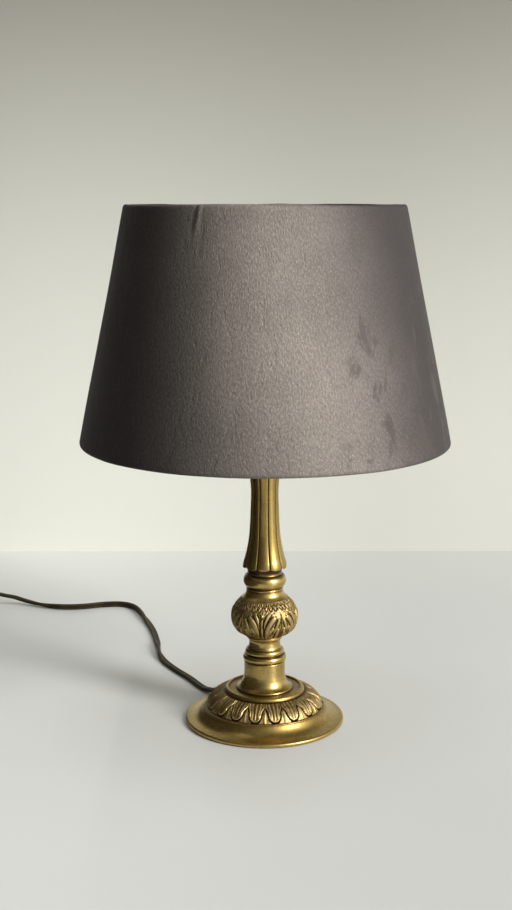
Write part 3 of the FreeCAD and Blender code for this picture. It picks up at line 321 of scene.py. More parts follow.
def lay_map(bm: bmesh.types.BMesh, rule: Callable[[bmesh.types.BMVert], Point], whole: float) -> None:
    """Lays the UV map that a finish reads, without a jump in any face.

    Args:
        bm: the mesh.
        rule: gives a vertex its place on the map.
        whole: the first coordinate's length all the way round.
    """
    layer = bm.loops.layers.uv.new("surface")
    for face in bm.faces:
        spots = [rule(loop.vert) for loop in face.loops]
        far = max(spot[0] for spot in spots)
        for loop, (one, two) in zip(face.loops, spots):
            loop[layer].uv = (one + whole if far - one > whole / 2 else one, two)


def to_object(bm: bmesh.types.BMesh, name: str, sharp: float = 40.0) -> bpy.types.Object:
    """Turns a bmesh in millimetres into an object in metres at the origin.

    Args:
        bm: the mesh; it is used up.
        name: the object's name.
        sharp: edges that turn more than this many degrees stay sharp.

    Returns:
        The object, linked to the scene.
    """
    bmesh.ops.scale(bm, vec=(MM, MM, MM), verts=bm.verts)
    mesh = bpy.data.meshes.new(name)
    bm.to_mesh(mesh)
    bm.free()
    mesh.shade_smooth()
    mesh.set_sharp_from_angle(angle=math.radians(sharp))
    piece = bpy.data.objects.new(name, mesh)
    bpy.context.scene.collection.objects.link(piece)
    return piece


def set_up(
    piece: bpy.types.Object, body: Body, finish: Finish, replaced: Sequence[str],
) -> bpy.types.Object:
    """Gives a piece its finish and its body, and hides the nodes that it stands for.

    Args:
        piece: the piece, in place.
        body: what it moves with.
        finish: its finish.
        replaced: nodes of the frame that it replaces.

    Returns:
        The piece.
    """
    piece.data.materials.clear()
    piece.data.materials.append(finish.material())
    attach(piece, body.value)
    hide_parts(*replaced)
    LOG.info("made %s", piece.name)
    return piece


def dress_nodes(frame: dict, finishes: dict[str, Finish]) -> None:
    """Gives nodes of the frame their finishes and leaves their meshes as they are.

    Args:
        frame: the loaded frame.
        finishes: the finish of each node.
    """
    for node, finish in finishes.items():
        mesh = frame["nodes"][node].data
        mesh.materials.clear()
        mesh.materials.append(finish.material())
        LOG.info("dressed %s", node)


# Finishes


class Wiring:
    """Adds shader nodes to a tree and joins their sockets."""

    def __init__(self, tree: bpy.types.NodeTree) -> None:
        """Keeps the tree, and a material's shader."""
        self.tree = tree
        self.shader = tree.nodes.get("Principled BSDF")

    def feed(self, name: str, value: Value) -> None:
        """Joins a value to the shader's input of a name."""
        self.join(value, self.shader.inputs[name])

    def emboss(self, height: Value, depth: float, strength: float = 1.0) -> None:
        """Feeds a height, in units of a depth in metres, to the shader's normal."""
        node = self.add("Bump", {"Height": height, "Strength": strength, "Distance": depth})
        self.feed("Normal", node.outputs[0])

    def add(self, kind: str, values: dict | None = None, **settings: object) -> bpy.types.Node:
        """Adds one node.

        Args:
            kind: the node's type without its ShaderNode prefix.
            values: a number, colour or socket for each input, by name or index.
            settings: the node's own properties.

        Returns:
            The node.
        """
        node = self.tree.nodes.new(kind if kind.startswith("Node") else f"ShaderNode{kind}")
        for key, setting in settings.items():
            setattr(node, key, setting)
        for key, value in (values or {}).items():
            self.join(value, node.inputs[key])
        return node

    def join(self, value: Value, socket: Socket) -> None:
        """Links a socket to an input, or sets the input's own value.

        Args:
            value: a number, a colour or a socket.
            socket: the input.
        """
        if isinstance(value, Socket):
            self.tree.links.new(value, socket)
        else:
            socket.default_value = value

    def maths(self, operation: str, *terms: Value) -> Socket:
        """Result of a Math node on up to three terms."""
        return self.add("Math", dict(enumerate(terms)), operation=operation).outputs[0]

    def times(self, one: Value, two: Value) -> Socket:
        """Product of two values."""
        return self.maths("MULTIPLY", one, two)

    def plus(self, one: Value, two: Value) -> Socket:
        """Sum of two values."""
        return self.maths("ADD", one, two)

    def axes(self, vector: Value) -> bpy.types.NodeOutputs:
        """The three numbers of a vector."""
        return self.add("SeparateXYZ", {0: vector}).outputs

    def attribute(self, name: str) -> Socket:
        """A number kept on the piece's vertices."""
        return self.add("Attribute", attribute_name=name).outputs["Fac"]

    def own_map(self) -> Socket:
        """The piece's own UV map."""
        return self.add("UVMap", uv_map="surface").outputs[0]

    def turned(self, vector: Value, angle: float, stretch: tuple) -> Socket:
        """Coordinates on a map that is turned by an angle in radians and stretched."""
        return self.add("Mapping", {0: vector, 2: (0.0, 0.0, angle), 3: stretch}).outputs[0]

    def mix(self, share: Value, one: Value, two: Value) -> Socket:
        """Colour between two, by a share."""
        return self.add("Mix", {0: share, 6: one, 7: two}, data_type="RGBA").outputs[2]

    def ramp(self, value: Value, stops: Sequence[tuple[float, tuple]]) -> Socket:
        """Reads a colour from a band by a value.

        Args:
            value: where it is read.
            stops: places on the band and their colours.

        Returns:
            The colour.
        """
        node = self.add("ValToRGB", {0: value})
        band = node.color_ramp.elements
        while len(band) < len(stops):
            band.new(0.5)
        for element, (place, colour) in zip(band, stops):
            element.position = place
            element.color = colour
        return node.outputs[0]

    def span(
        self, value: Value, low: float, high: float, start: float = 0.0, end: float = 1.0,
    ) -> Socket:
        """Value carried from one range to another and held inside it."""
        return self.add(
            "MapRange", {0: value, 1: low, 2: high, 3: start, 4: end}, interpolation_type="SMOOTHSTEP",
        ).outputs[0]

    def speckle(
        self, vector: Value, scale: Value, detail: float = 2.0, rough: float = 0.5, distortion: float = 0.0,
    ) -> Socket:
        """Noise from 0 to 1 at a scale."""
        return self.add("TexNoise", {
            "Vector": vector, "Scale": scale, "Detail": detail, "Roughness": rough, "Distortion": distortion,
        }).outputs[0]


def rgb(red: float, green: float, blue: float) -> tuple[float, float, float, float]:
    """An opaque colour from linear values."""
    return (red, green, blue, 1.0)


class EffectGroup:
    """A shader node group that several finishes share; it is built on first use."""

    def __init__(self, name: str, inputs: dict[str, float], outputs: dict[str, str], fill: Callable) -> None:
        """Keeps the plan.

        Args:
            name: the group's name.
            inputs: each number input with its default.
            outputs: each output with its kind, Color or Float.
            fill: takes the wiring, the inputs and the vector, and returns a socket for each output.
        """
        self.name, self.inputs, self.outputs, self.fill = name, inputs, outputs, fill

    def tree(self) -> bpy.types.NodeTree:
        """Makes the group's tree, or finds it.

        Returns:
            The tree.
        """
        if self.name in bpy.data.node_groups:
            return bpy.data.node_groups[self.name]
        tree = bpy.data.node_groups.new(self.name, "ShaderNodeTree")
        tree.interface.new_socket("Vector", in_out="INPUT", socket_type="NodeSocketVector")
        for name, default in self.inputs.items():
            socket = tree.interface.new_socket(name, in_out="INPUT", socket_type="NodeSocketFloat")
            socket.default_value = default
        for name, kind in self.outputs.items():
            tree.interface.new_socket(name, in_out="OUTPUT", socket_type=f"NodeSocket{kind}")
        wiring = Wiring(tree)
        entry = wiring.add("NodeGroupInput")
        leave = wiring.add("NodeGroupOutput")
        made = self.fill(wiring, {socket.name: socket for socket in entry.outputs if socket.name})
        for name, socket in made.items():
            tree.links.new(socket, leave.inputs[name])
        return tree

    def place(self, wiring: Wiring, vector: Value, **values: Value) -> dict[str, Socket]:
        """Puts the group in a material.

        Args:
            wiring: the material's wiring.
            vector: the coordinates that it reads.
            values: a number or socket for each input, by its name in lower case.

        Returns:
            The group's outputs by name.
        """
        given = {"Vector": vector} | {name.capitalize(): value for name, value in values.items()}
        node = wiring.add("Group", given, node_tree=self.tree())
        return {socket.name: socket for socket in node.outputs}


def fill_patina(w: Wiring, given: dict) -> dict:
    """Old lacquered brass: gold on the high places, brown and black in the hollows, cloudy in between.

    Args:
        w: the group's wiring.
        given: its inputs by name.

    Returns:
        Its outputs by name.
    """
    place = given["Vector"]
    clouds = w.speckle(place, 55.0, 4.0, 0.6)
    spots = w.speckle(place, 420.0, 3.0, 0.65)
    grit = w.speckle(place, 1500.0, 2.0, 0.6)
    cloudy = w.times(w.maths("SUBTRACT", clouds, 0.5), given["Clouds"])
    spotty = w.times(w.maths("SUBTRACT", spots, 0.5), given["Spots"])
    soil = w.plus(given["Dirt"], w.plus(cloudy, spotty))
    colour = w.ramp(soil, (
        (0.0, rgb(0.60, 0.435, 0.155)),
        (0.22, rgb(0.39, 0.268, 0.075)),
        (0.45, rgb(0.205, 0.130, 0.034)),
        (0.70, rgb(0.070, 0.042, 0.014)),
        (1.0, rgb(0.016, 0.010, 0.005)),
    ))
    blush = w.mix(w.times(given["Blush"], spots), colour, rgb(0.25, 0.155, 0.062))
    rough = w.plus(given["Gloss"], w.times(soil, 0.34))
    rough = w.plus(rough, w.times(grit, 0.08))
    height = w.plus(w.times(grit, 0.5), w.times(spots, 0.5))
    bloom = w.times(w.span(spots, 0.35, 0.7), given["Bloom"])
    bloom = w.times(bloom, w.span(soil, 0.72, 0.26))
    colour = w.mix(bloom, blush, rgb(0.44, 0.36, 0.21))
    rough = w.plus(rough, w.times(bloom, 0.44))
    return {"Color": colour, "Rough": rough, "Height": height}


PATINA = EffectGroup(
    "brass_patina", {"Dirt": 0.2, "Clouds": 0.3, "Spots": 0.25, "Gloss": 0.2, "Blush": 0.0, "Bloom": 0.0},
    {"Color": "Color", "Rough": "Float", "Height": "Float"}, fill_patina,
)


def fill_handling(w: Wiring, given: dict) -> dict:
    """Dust, fine scratches and a moulded skin on a plain surface.

    Args:
        w: the group's wiring.
        given: its inputs by name.

    Returns:
        Its outputs by name.
    """
    place = given["Vector"]
    cloud = w.speckle(place, 40.0, 3.0)
    grain = w.speckle(place, given["Grain"], 2.0, 0.6)
    stretched = w.add("Mapping", {0: place, 2: (0.3, 0.2, 0.9), 3: (1.0, 14.0, 3.0)}).outputs[0]
    scratches = w.times(w.span(w.speckle(stretched, 160.0, 2.0), 0.62, 0.72), given["Scratches"])
    dust = w.times(w.span(cloud, 0.45, 0.75), given["Dust"])
    mask = w.maths("MAXIMUM", dust, scratches)
    return {"Mask": mask, "Grain": grain, "Height": w.maths("SUBTRACT", grain, scratches)}


HANDLING = EffectGroup(
    "handling_marks", {"Grain": 1200.0, "Dust": 0.25, "Scratches": 0.2},
    {"Mask": "Float", "Grain": "Float", "Height": "Float"}, fill_handling,
)


def fill_weave(w: Wiring, given: dict) -> dict:
    """Plain weave of threads that pass over and under each other.

    Args:
        w: the group's wiring.
        given: its inputs by name.

    Returns:
        Its outputs by name.
    """
    warp, weft = (w.maths("SINE", w.times(axis, given["Threads"])) for axis in w.axes(given["Vector"])[:2])
    fuzz = w.speckle(given["Vector"], given["Fuzz"], 3.0, 0.7)
    height = w.plus(w.times(w.times(warp, weft), 0.5), fuzz)
    return {"Mask": w.span(height, 0.0, 1.2), "Height": height}


WEAVE = EffectGroup(
    "plain_weave", {"Threads": 9000.0, "Fuzz": 900.0}, {"Mask": "Float", "Height": "Float"}, fill_weave,
)


@dataclass(frozen=True)
class Finish:
    """A surface finish: constants of its shader, and a method that adds the detail.

    Attributes:
        name: the material's name.
        metal: 1 for bare metal, otherwise 0.
        base: colour before the detail.
        rough: roughness before the detail.
        extras: further constant sockets of the shader.
    """

    name: str
    metal: float = 0.0
    base: tuple = rgb(0.5, 0.5, 0.5)
    rough: float = 0.5
    extras: dict = field(default_factory=dict)

    def material(self) -> bpy.types.Material:
        """Makes the material, or finds it.

        Returns:
            The material.
        """
        if self.name in bpy.data.materials:
            return bpy.data.materials[self.name]
        material = bpy.data.materials.new(self.name)
        material.use_nodes = True
        w = Wiring(material.node_tree)
        plain = {"Base Color": self.base, "Metallic": self.metal, "Roughness": self.rough}
        for name, value in (plain | self.extras).items():
            w.feed(name, value)
        self.detail(w, w.add("TexCoord").outputs["Object"])
        return material

    def detail(self, w: Wiring, place: Socket) -> None:
        """Adds what varies over the surface; each finish has its own.

        Args:
            w: the material's wiring.
            place: the piece's own coordinates.
        """
        raise NotImplementedError


@dataclass(frozen=True)
class AgedBrass(Finish):
    """Cast or turned brass under old lacquer, with turning lines where it was spun.

    Attributes:
        metal: 1, as it is bare metal.
        gloss: roughness where it is clean.
        clouds: how much the patina changes from place to place.
        spots: how spotty it is.
        grain: depth of its grain in metres.
        turning: how deep the turning lines are beside the grain.
        dust: how much pale dust lies in carving.
    """

    metal: float = 1.0
    gloss: float = 0.22
    clouds: float = 0.30
    spots: float = 0.22
    grain: float = 0.00006
    turning: float = 0.4
    dust: float = 0.0

    def detail(self, w: Wiring, place: Socket) -> None:
        """Patina by the piece's own dirt attribute, and fine rings round the axis.

        Args:
            w: the material's wiring.
            place: the piece's own coordinates.
        """
        made = PATINA.place(
            w, place, dirt=w.attribute("dirt"), clouds=self.clouds, spots=self.spots, gloss=self.gloss,
            blush=w.attribute("blush"), bloom=w.times(w.attribute("carved"), self.dust),
        )
        x, y, z = w.axes(place)
        radius = w.maths("SQRT", w.plus(w.maths("POWER", x, 2.0), w.maths("POWER", y, 2.0)))
        rings = w.speckle(w.add("CombineXYZ", {0: w.plus(z, radius)}).outputs[0], 2600.0, 2.0, 0.7)
        height = w.plus(made["Height"], w.times(rings, self.turning))
        w.feed("Base Color", made["Color"])
        w.feed("Roughness", made["Rough"])
        w.emboss(height, self.grain)


@dataclass(frozen=True)
class Velvet(Finish):
    """Short pile velvet with pressed marks and painted glints along its grain, and painted light and shade
    round the cone.

    Attributes:
        radius: radius at which the cloth's map was laid, in metres.
        painted_light_peak: twice the angle from the front at which the painted light peaks.
        painted_shade_floor: share of the cloth's colour that is left where the painted shade is deepest.
    """

    radius: float = 0.125
    painted_light_peak: float = 0.24
    painted_shade_floor: float = 0.09

    def detail(self, w: Wiring, place: Socket) -> None:
        """Grain slanted on the cloth's own map with painted glints, pressed marks, and painted light and
        shade round the cone.

        Args:
            w: the material's wiring.
            place: the piece's own coordinates.
        """
        cloth = w.own_map()
        slant = w.turned(cloth, 0.65, (1.7, 1.0, 1.0))
        pile = w.speckle(slant, 400.0, 3.0, 0.7)
        glint = w.span(w.speckle(slant, 620.0, 2.0, 0.6), 0.50, 0.72)
        strokes = w.turned(cloth, 0.5, (1.7, 1.0, 1.0))
        smudge = w.span(w.speckle(strokes, 44.0, 4.0, 0.6, 0.6), 0.52, 0.66)
        around, up, _ = w.axes(cloth)
        handled = w.times(w.span(around, 0.040, 0.068), w.span(up, 0.34, 0.25, 0.25, 1.0))
        pressed = w.times(smudge, handled)
        drift = w.speckle(place, 13.0, 4.0, 0.6)
        colour = self.dyed(w, w.plus(w.times(pile, 0.52), w.times(drift, 0.48)), around)
        # Painted highlight: pale glints along the grain, mixed into the colour.
        colour = w.mix(w.times(glint, 0.36), colour, rgb(0.50, 0.455, 0.42))
        # Painted shade: darkens the cloth away from where the painted light peaks.
        colour = w.mix(self.lean(w, around, up), rgb(0.013, 0.010, 0.010), colour)
        colour = w.mix(w.times(pressed, 0.85), colour, rgb(0.055, 0.044, 0.040))
        w.feed("Base Color", colour)
        w.emboss(w.plus(pile, w.times(smudge, -0.35)), 0.0007, 0.8)

    def dyed(self, w: Wiring, tone: Value, around: Value) -> Socket:
        """Finds the cloth's colour, cooler on the light side.

        Args:
            w: the material's wiring.
            tone: how light the pile is, from 0 to 1.
            around: distance round the shade.

        Returns:
            The colour.
        """
        colour = w.ramp(tone, (
            (0.30, rgb(0.102, 0.087, 0.076)),
            (0.52, rgb(0.193, 0.168, 0.148)),
            (0.75, rgb(0.332, 0.291, 0.257)),
        ))
        cool = w.mix(w.span(around, 0.03, 0.10), rgb(1.0, 1.0, 1.0), rgb(0.90, 0.87, 0.93))
        return w.add("Mix", {0: 1.0, 6: colour, 7: cool}, data_type="RGBA", blend_type="MULTIPLY").outputs[2]

    def lean(self, w: Wiring, around: Value, up: Value) -> Socket:
        """Paints light and shade round the cone: lightest at two opposite sides, darkest between them.

        Args:
            w: the material's wiring.
            around: distance round the shade.
            up: level.

        Returns:
            A share of the cloth's colour: 1 where the painted light peaks, least where the painted shade is
            deepest.
        """
        lower = w.maths("MULTIPLY_ADD", up, 0.22, -0.06)
        angle = w.times(w.plus(around, lower), 2 / self.radius)
        wave = w.maths("MULTIPLY_ADD", w.maths("COSINE", w.maths("SUBTRACT", angle, self.painted_light_peak)), 0.5, 0.5)
        return w.maths("MULTIPLY_ADD", w.maths("POWER", wave, 3.2), 1 - self.painted_shade_floor, self.painted_shade_floor)


@dataclass(frozen=True)
class Plain(Finish):
    """A plain material with grain, dust and scratches: moulded plastic, plated metal, lacquer.

    Attributes:
        worn: colour of dust and scratches.
        grain: scale of the grain.
        dust: how much dust shows.
        scratches: how much scratching shows.
        depth: depth of the grain in metres.
    """

    worn: tuple = rgb(0.5, 0.5, 0.5)
    grain: float = 1200.0
    dust: float = 0.25
    scratches: float = 0.2
    depth: float = 0.00003

    def detail(self, w: Wiring, place: Socket) -> None:
        """Handling marks in colour, gloss and height.

        Args:
            w: the material's wiring.
            place: the piece's own coordinates.
        """
        marks = HANDLING.place(w, place, grain=self.grain, dust=self.dust, scratches=self.scratches)
        w.feed("Base Color", w.mix(marks["Mask"], self.base, self.worn))
        rough = w.plus(self.rough, w.times(marks["Grain"], 0.1))
        rough = w.plus(rough, w.times(marks["Mask"], 0.2))
        w.feed("Roughness", rough)
        w.emboss(marks["Height"], self.depth)


@dataclass(frozen=True)
class Cloth(Finish):
    """Felt, lining or webbing: threads or matted fibre.

    Attributes:
        dark: colour between the threads.
        threads: threads to the metre, times two pi.
        fuzz: scale of the loose fibre.
        depth: height of the threads in metres.
        uv: True if it reads the piece's own map.
    """

    dark: tuple = rgb(0.1, 0.1, 0.1)
    threads: float = 9000.0
    fuzz: float = 900.0
    depth: float = 0.0002
    uv: bool = False

    def detail(self, w: Wiring, place: Socket) -> None:
        """Threads in colour and height.

        Args:
            w: the material's wiring.
            place: the piece's own coordinates.
        """
        source = w.own_map() if self.uv else place
        weave = WEAVE.place(w, source, threads=self.threads, fuzz=self.fuzz)
        w.feed("Base Color", w.mix(weave["Mask"], self.dark, self.base))
        w.emboss(weave["Height"], self.depth)


@dataclass(frozen=True)
class TwinSheath(Finish):
    """Clear brown flex over tarnished strands, which glint gold along each core.

    Attributes:
        strands: strands seen round the cord.
        twist: how far they turn in a metre, in radians.
    """

    strands: int = 14
    twist: float = 2400.0

    def detail(self, w: Wiring, place: Socket) -> None:
        """Strands on the cord's own map, laid up with a slow twist, and painted shade in the groove between
        the cores.

        Args:
            w: the material's wiring.
            place: the piece's own coordinates.
        """
        around, along, _ = w.axes(w.own_map())
        whole = 2 * math.pi
        lay = w.plus(w.times(around, whole * self.strands), w.times(along, self.twist))
        strand = w.span(w.maths("SINE", lay), -0.2, 0.95)
        cloud = w.speckle(place, 130.0, 3.0)
        gold = w.mix(cloud, rgb(0.058, 0.044, 0.014), rgb(0.17, 0.128, 0.044))
        share = w.times(strand, w.span(cloud, 0.35, 0.7, 0.25, 0.9))
        colour = w.mix(share, rgb(0.020, 0.015, 0.007), gold)
        # Painted shade: the groove between the two cores is darkened.
        groove = w.span(w.maths("ABSOLUTE", w.maths("SINE", w.times(around, whole))), 0.55, 0.10)
        colour = w.mix(w.times(groove, 0.85), colour, rgb(0.006, 0.005, 0.004))
        w.feed("Base Color", colour)
        w.emboss(strand, 0.00006, 0.6)


@dataclass(frozen=True)
class ClearGlass(Finish):
    """Thin blown glass with a trace of waviness."""

    def detail(self, w: Wiring, place: Socket) -> None:
        """A slow ripple."""
        w.emboss(w.speckle(place, 60.0, 1.0), 0.0001, 0.3)


@dataclass(frozen=True)
class Phosphor(Finish):
    """Yellow coating on the light strips, dotted along their length."""

    def detail(self, w: Wiring, place: Socket) -> None:
        """Bands along the strip.

        Args:
            w: the material's wiring.
            place: the piece's own coordinates.
        """
        band = w.span(w.maths("SINE", w.times(w.axes(place)[2], 4200.0)), -0.3, 0.6)
        w.feed("Base Color", w.mix(band, rgb(0.62, 0.42, 0.08), rgb(0.86, 0.66, 0.18)))
        w.emboss(band, 0.0001, 0.5)


OLD_LACQUER = {"Coat Weight": 0.4, "Coat Roughness": 0.15, "Coat IOR": 1.5}
WORN_LACQUER = {"Coat Weight": 0.15, "Coat Roughness": 0.35, "Coat IOR": 1.5}
TURNED_BRASS = AgedBrass("turned_brass", gloss=0.17, extras=OLD_LACQUER)
CAST_BRASS = AgedBrass(
    "cast_brass", gloss=0.22, spots=0.36, grain=0.00010, turning=0.0, dust=0.8, extras=WORN_LACQUER,
)
VELVET = Velvet("taupe_velvet", rough=0.7, extras={
    "Sheen Weight": 0.07, "Sheen Roughness": 0.4, "Sheen Tint": rgb(0.78, 0.72, 0.70),
    "Specular IOR Level": 0.35,
})
BAKELITE = Plain("dark_bakelite", base=rgb(0.022, 0.020, 0.019), rough=0.32, worn=rgb(0.10, 0.09, 0.08))
NICKEL = Plain("nickel_plate", metal=1.0, base=rgb(0.62, 0.61, 0.58), rough=0.2, worn=rgb(0.35, 0.33, 0.30))
STEEL = Plain(
    "zinc_steel", metal=1.0, base=rgb(0.52, 0.53, 0.55), rough=0.36, worn=rgb(0.30, 0.29, 0.27), dust=0.4,
)
CONTACT = Plain("bright_brass", metal=1.0, base=rgb(0.72, 0.55, 0.26), rough=0.25, worn=rgb(0.40, 0.28, 0.12))
LACQUER = Plain(
    "white_lacquer", base=rgb(0.64, 0.64, 0.62), rough=0.4, worn=rgb(0.55, 0.53, 0.50), grain=700.0,
)
LINING = Plain(
    "lining_sheet", base=rgb(0.66, 0.64, 0.60), rough=0.55, worn=rgb(0.55, 0.52, 0.46), grain=500.0,
    dust=0.3, scratches=0.05,
)
PLASTIC = Plain(
    "gold_moulding", base=rgb(0.30, 0.225, 0.075), rough=0.3, worn=rgb(0.42, 0.34, 0.16), dust=0.35,
    extras={"Coat Weight": 0.35, "Coat Roughness": 0.2},
)
NYLON = Plain("black_moulding", base=rgb(0.016, 0.016, 0.017), rough=0.45, worn=rgb(0.07, 0.07, 0.07))
FELT = Cloth(
    "green_baize", base=rgb(0.055, 0.085, 0.045), dark=rgb(0.020, 0.032, 0.018), rough=0.95, fuzz=1400.0,
    depth=0.0004, extras={"Sheen Weight": 0.4},
)
WEBBING = Cloth(
    "tie_webbing", base=rgb(0.035, 0.035, 0.037), dark=rgb(0.006, 0.006, 0.007), rough=0.85, threads=8000.0,
    uv=True,
)
SHEATH = TwinSheath("twin_sheath", rough=0.50, extras={
    "Coat Weight": 0.03, "Coat Roughness": 0.25, "Specular IOR Level": 0.14,
})
GLASS = ClearGlass("clear_bulb_glass", base=rgb(1.0, 1.0, 1.0), rough=0.02, extras={
    "Transmission Weight": 1.0, "IOR": 1.45,
})
PHOSPHOR = Phosphor("phosphor_strip", rough=0.6)


# Carving


@dataclass(frozen=True)
class TongueLeaves:
    """Band of tongue leaves with rounded lower tips, raised rims, veins, and darts between them.

    Attributes:
        count: leaves round the foot.
        tip: distance up the band where each leaf starts.
        shoulder: where its rounded end gives way to straight sides.
        apex: where neighbours meet over a dart.
        top: where the carving fades out.
        narrow: share of the pitch that a leaf fills at its shoulder.
        wide: share that it fills at its apex.
        edge: distance of the raised rim from the leaf's edge, and its width.
        veins: distance from vein to vein as a share of half a leaf's width.
        trench: width of the groove round a leaf.
        depth: depth of that groove.
        soiled: dirt in it.
        dart: width of a dart's ridge.
    """

    count: int = 18
    tip: float = 0.9
    shoulder: float = 6.6
    apex: float = 13.0
    top: float = 16.4
    narrow: float = 0.62
    wide: float = 0.97
    edge: Point = (0.55, 0.40)
    veins: float = 0.52
    trench: float = 0.90
    depth: float = 0.95
    soiled: float = 0.84
    dart: float = 0.50

    def __call__(self, spot: Spot) -> tuple[float, float]:
        """Cuts the leaves, the grooves round them and the darts between them.

        Args:
            spot: a place on the uncarved surface.

        Returns:
            How far it is lifted, and its dirt from 0 to 1.
        """
        pitch = 360 / self.count
        half = math.radians(pitch / 2) * spot.radius
        across = abs(wrapped(spot.angle - pitch / 2, pitch)) / pitch * 2 * half
        spread = smooth(self.shoulder, self.apex, spot.along)
        width = half * (self.narrow + (self.wide - self.narrow) * spread)
        if spot.along < self.shoulder:
            drop = (self.shoulder - spot.along) / (self.shoulder - self.tip)
            inside = (1 - math.hypot(across / width, drop)) * width
        else:
            inside = width - across
        if inside > 0:
            rim = bump(inside, *self.edge)
            body = smooth(0.7, 1.5, inside)
            vein = 0.5 + 0.5 * math.cos(2 * math.pi * across / (width * self.veins))
            lift = 0.10 + 0.42 * rim + body * (0.40 * vein - 0.05)
            dirt = 0.20 - 0.20 * rim + body * 0.36 * (1 - vein)
        elif inside > -self.trench:
            lift = -self.depth * math.sin(math.pi * -inside / self.trench)
            dirt = self.soiled
        else:
            ridge = bump(half - across, 0.0, self.dart)
            lift = 0.10 + 0.34 * ridge
            dirt = 0.22 - 0.14 * ridge
        ends = smooth(0.0, 0.5, spot.along) * (1 - smooth(self.top - 1.2, self.top, spot.along))
        return lift * ends, max(dirt * ends + 0.75 * (1 - ends), 0.0)


# Reach of a lobe at a place that is nowhere near it, in millimetres
FAR_OUTSIDE = -9.0


@dataclass(frozen=True)
class Lobe:
    """One lobe of a carved leaf: it climbs from its root and bends over to its tip.

    Attributes:
        root: where it leaves the leaf's foot, across and up.
        bend: where it is headed before it turns out.
        tip: where it ends.
        width: half its width at its widest.
        lift: height of its back.
        pieces: straight pieces that its middle line is measured by.
    """

    root: Point
    bend: Point
    tip: Point
    width: float
    lift: float = 0.55
    pieces: int = 8

    @cached_property
    def line(self) -> list[Point]:
        """Draws the lobe's middle line, a curve from root to tip that is drawn towards its bend.

        Returns:
            Its points.
        """
        line = []
        for index in range(self.pieces + 1):
            t = index / self.pieces
            line.append(tuple(
                (1 - t) ** 2 * a + 2 * t * (1 - t) * b + t * t * c
                for a, b, c in zip(self.root, self.bend, self.tip)
            ))
        return line

    def reach(self, across: float, up: float) -> tuple[float, float]:
        """Finds how far inside the lobe a place is.

        Args:
            across: distance from the leaf's middle.
            up: height above its foot.

        Returns:
            The distance to the lobe's edge, below 0 outside it, and the lift there.
        """
        if not self.root[1] - self.width < up < self.tip[1] + self.width or across > self.tip[0] + self.width:
            return FAR_OUTSIDE, 0.0
        away, held = math.inf, 0.0
        for index, ((x0, y0), (x1, y1)) in enumerate(zip(self.line, self.line[1:])):
            dx, dy = x1 - x0, y1 - y0
            share = min(max(((across - x0) * dx + (up - y0) * dy) / (dx * dx + dy * dy), 0.0), 1.0)
            gap = math.hypot(across - x0 - dx * share, up - y0 - dy * share)
            if gap < away:
                away, held = gap, (index + share) / self.pieces
        width = self.width * (0.42 + 0.58 * smooth(0.0, 0.65, held))
        lift = self.lift * math.sqrt(1 - (away / width) ** 2) if away < width else 0.0
        return width - away, lift


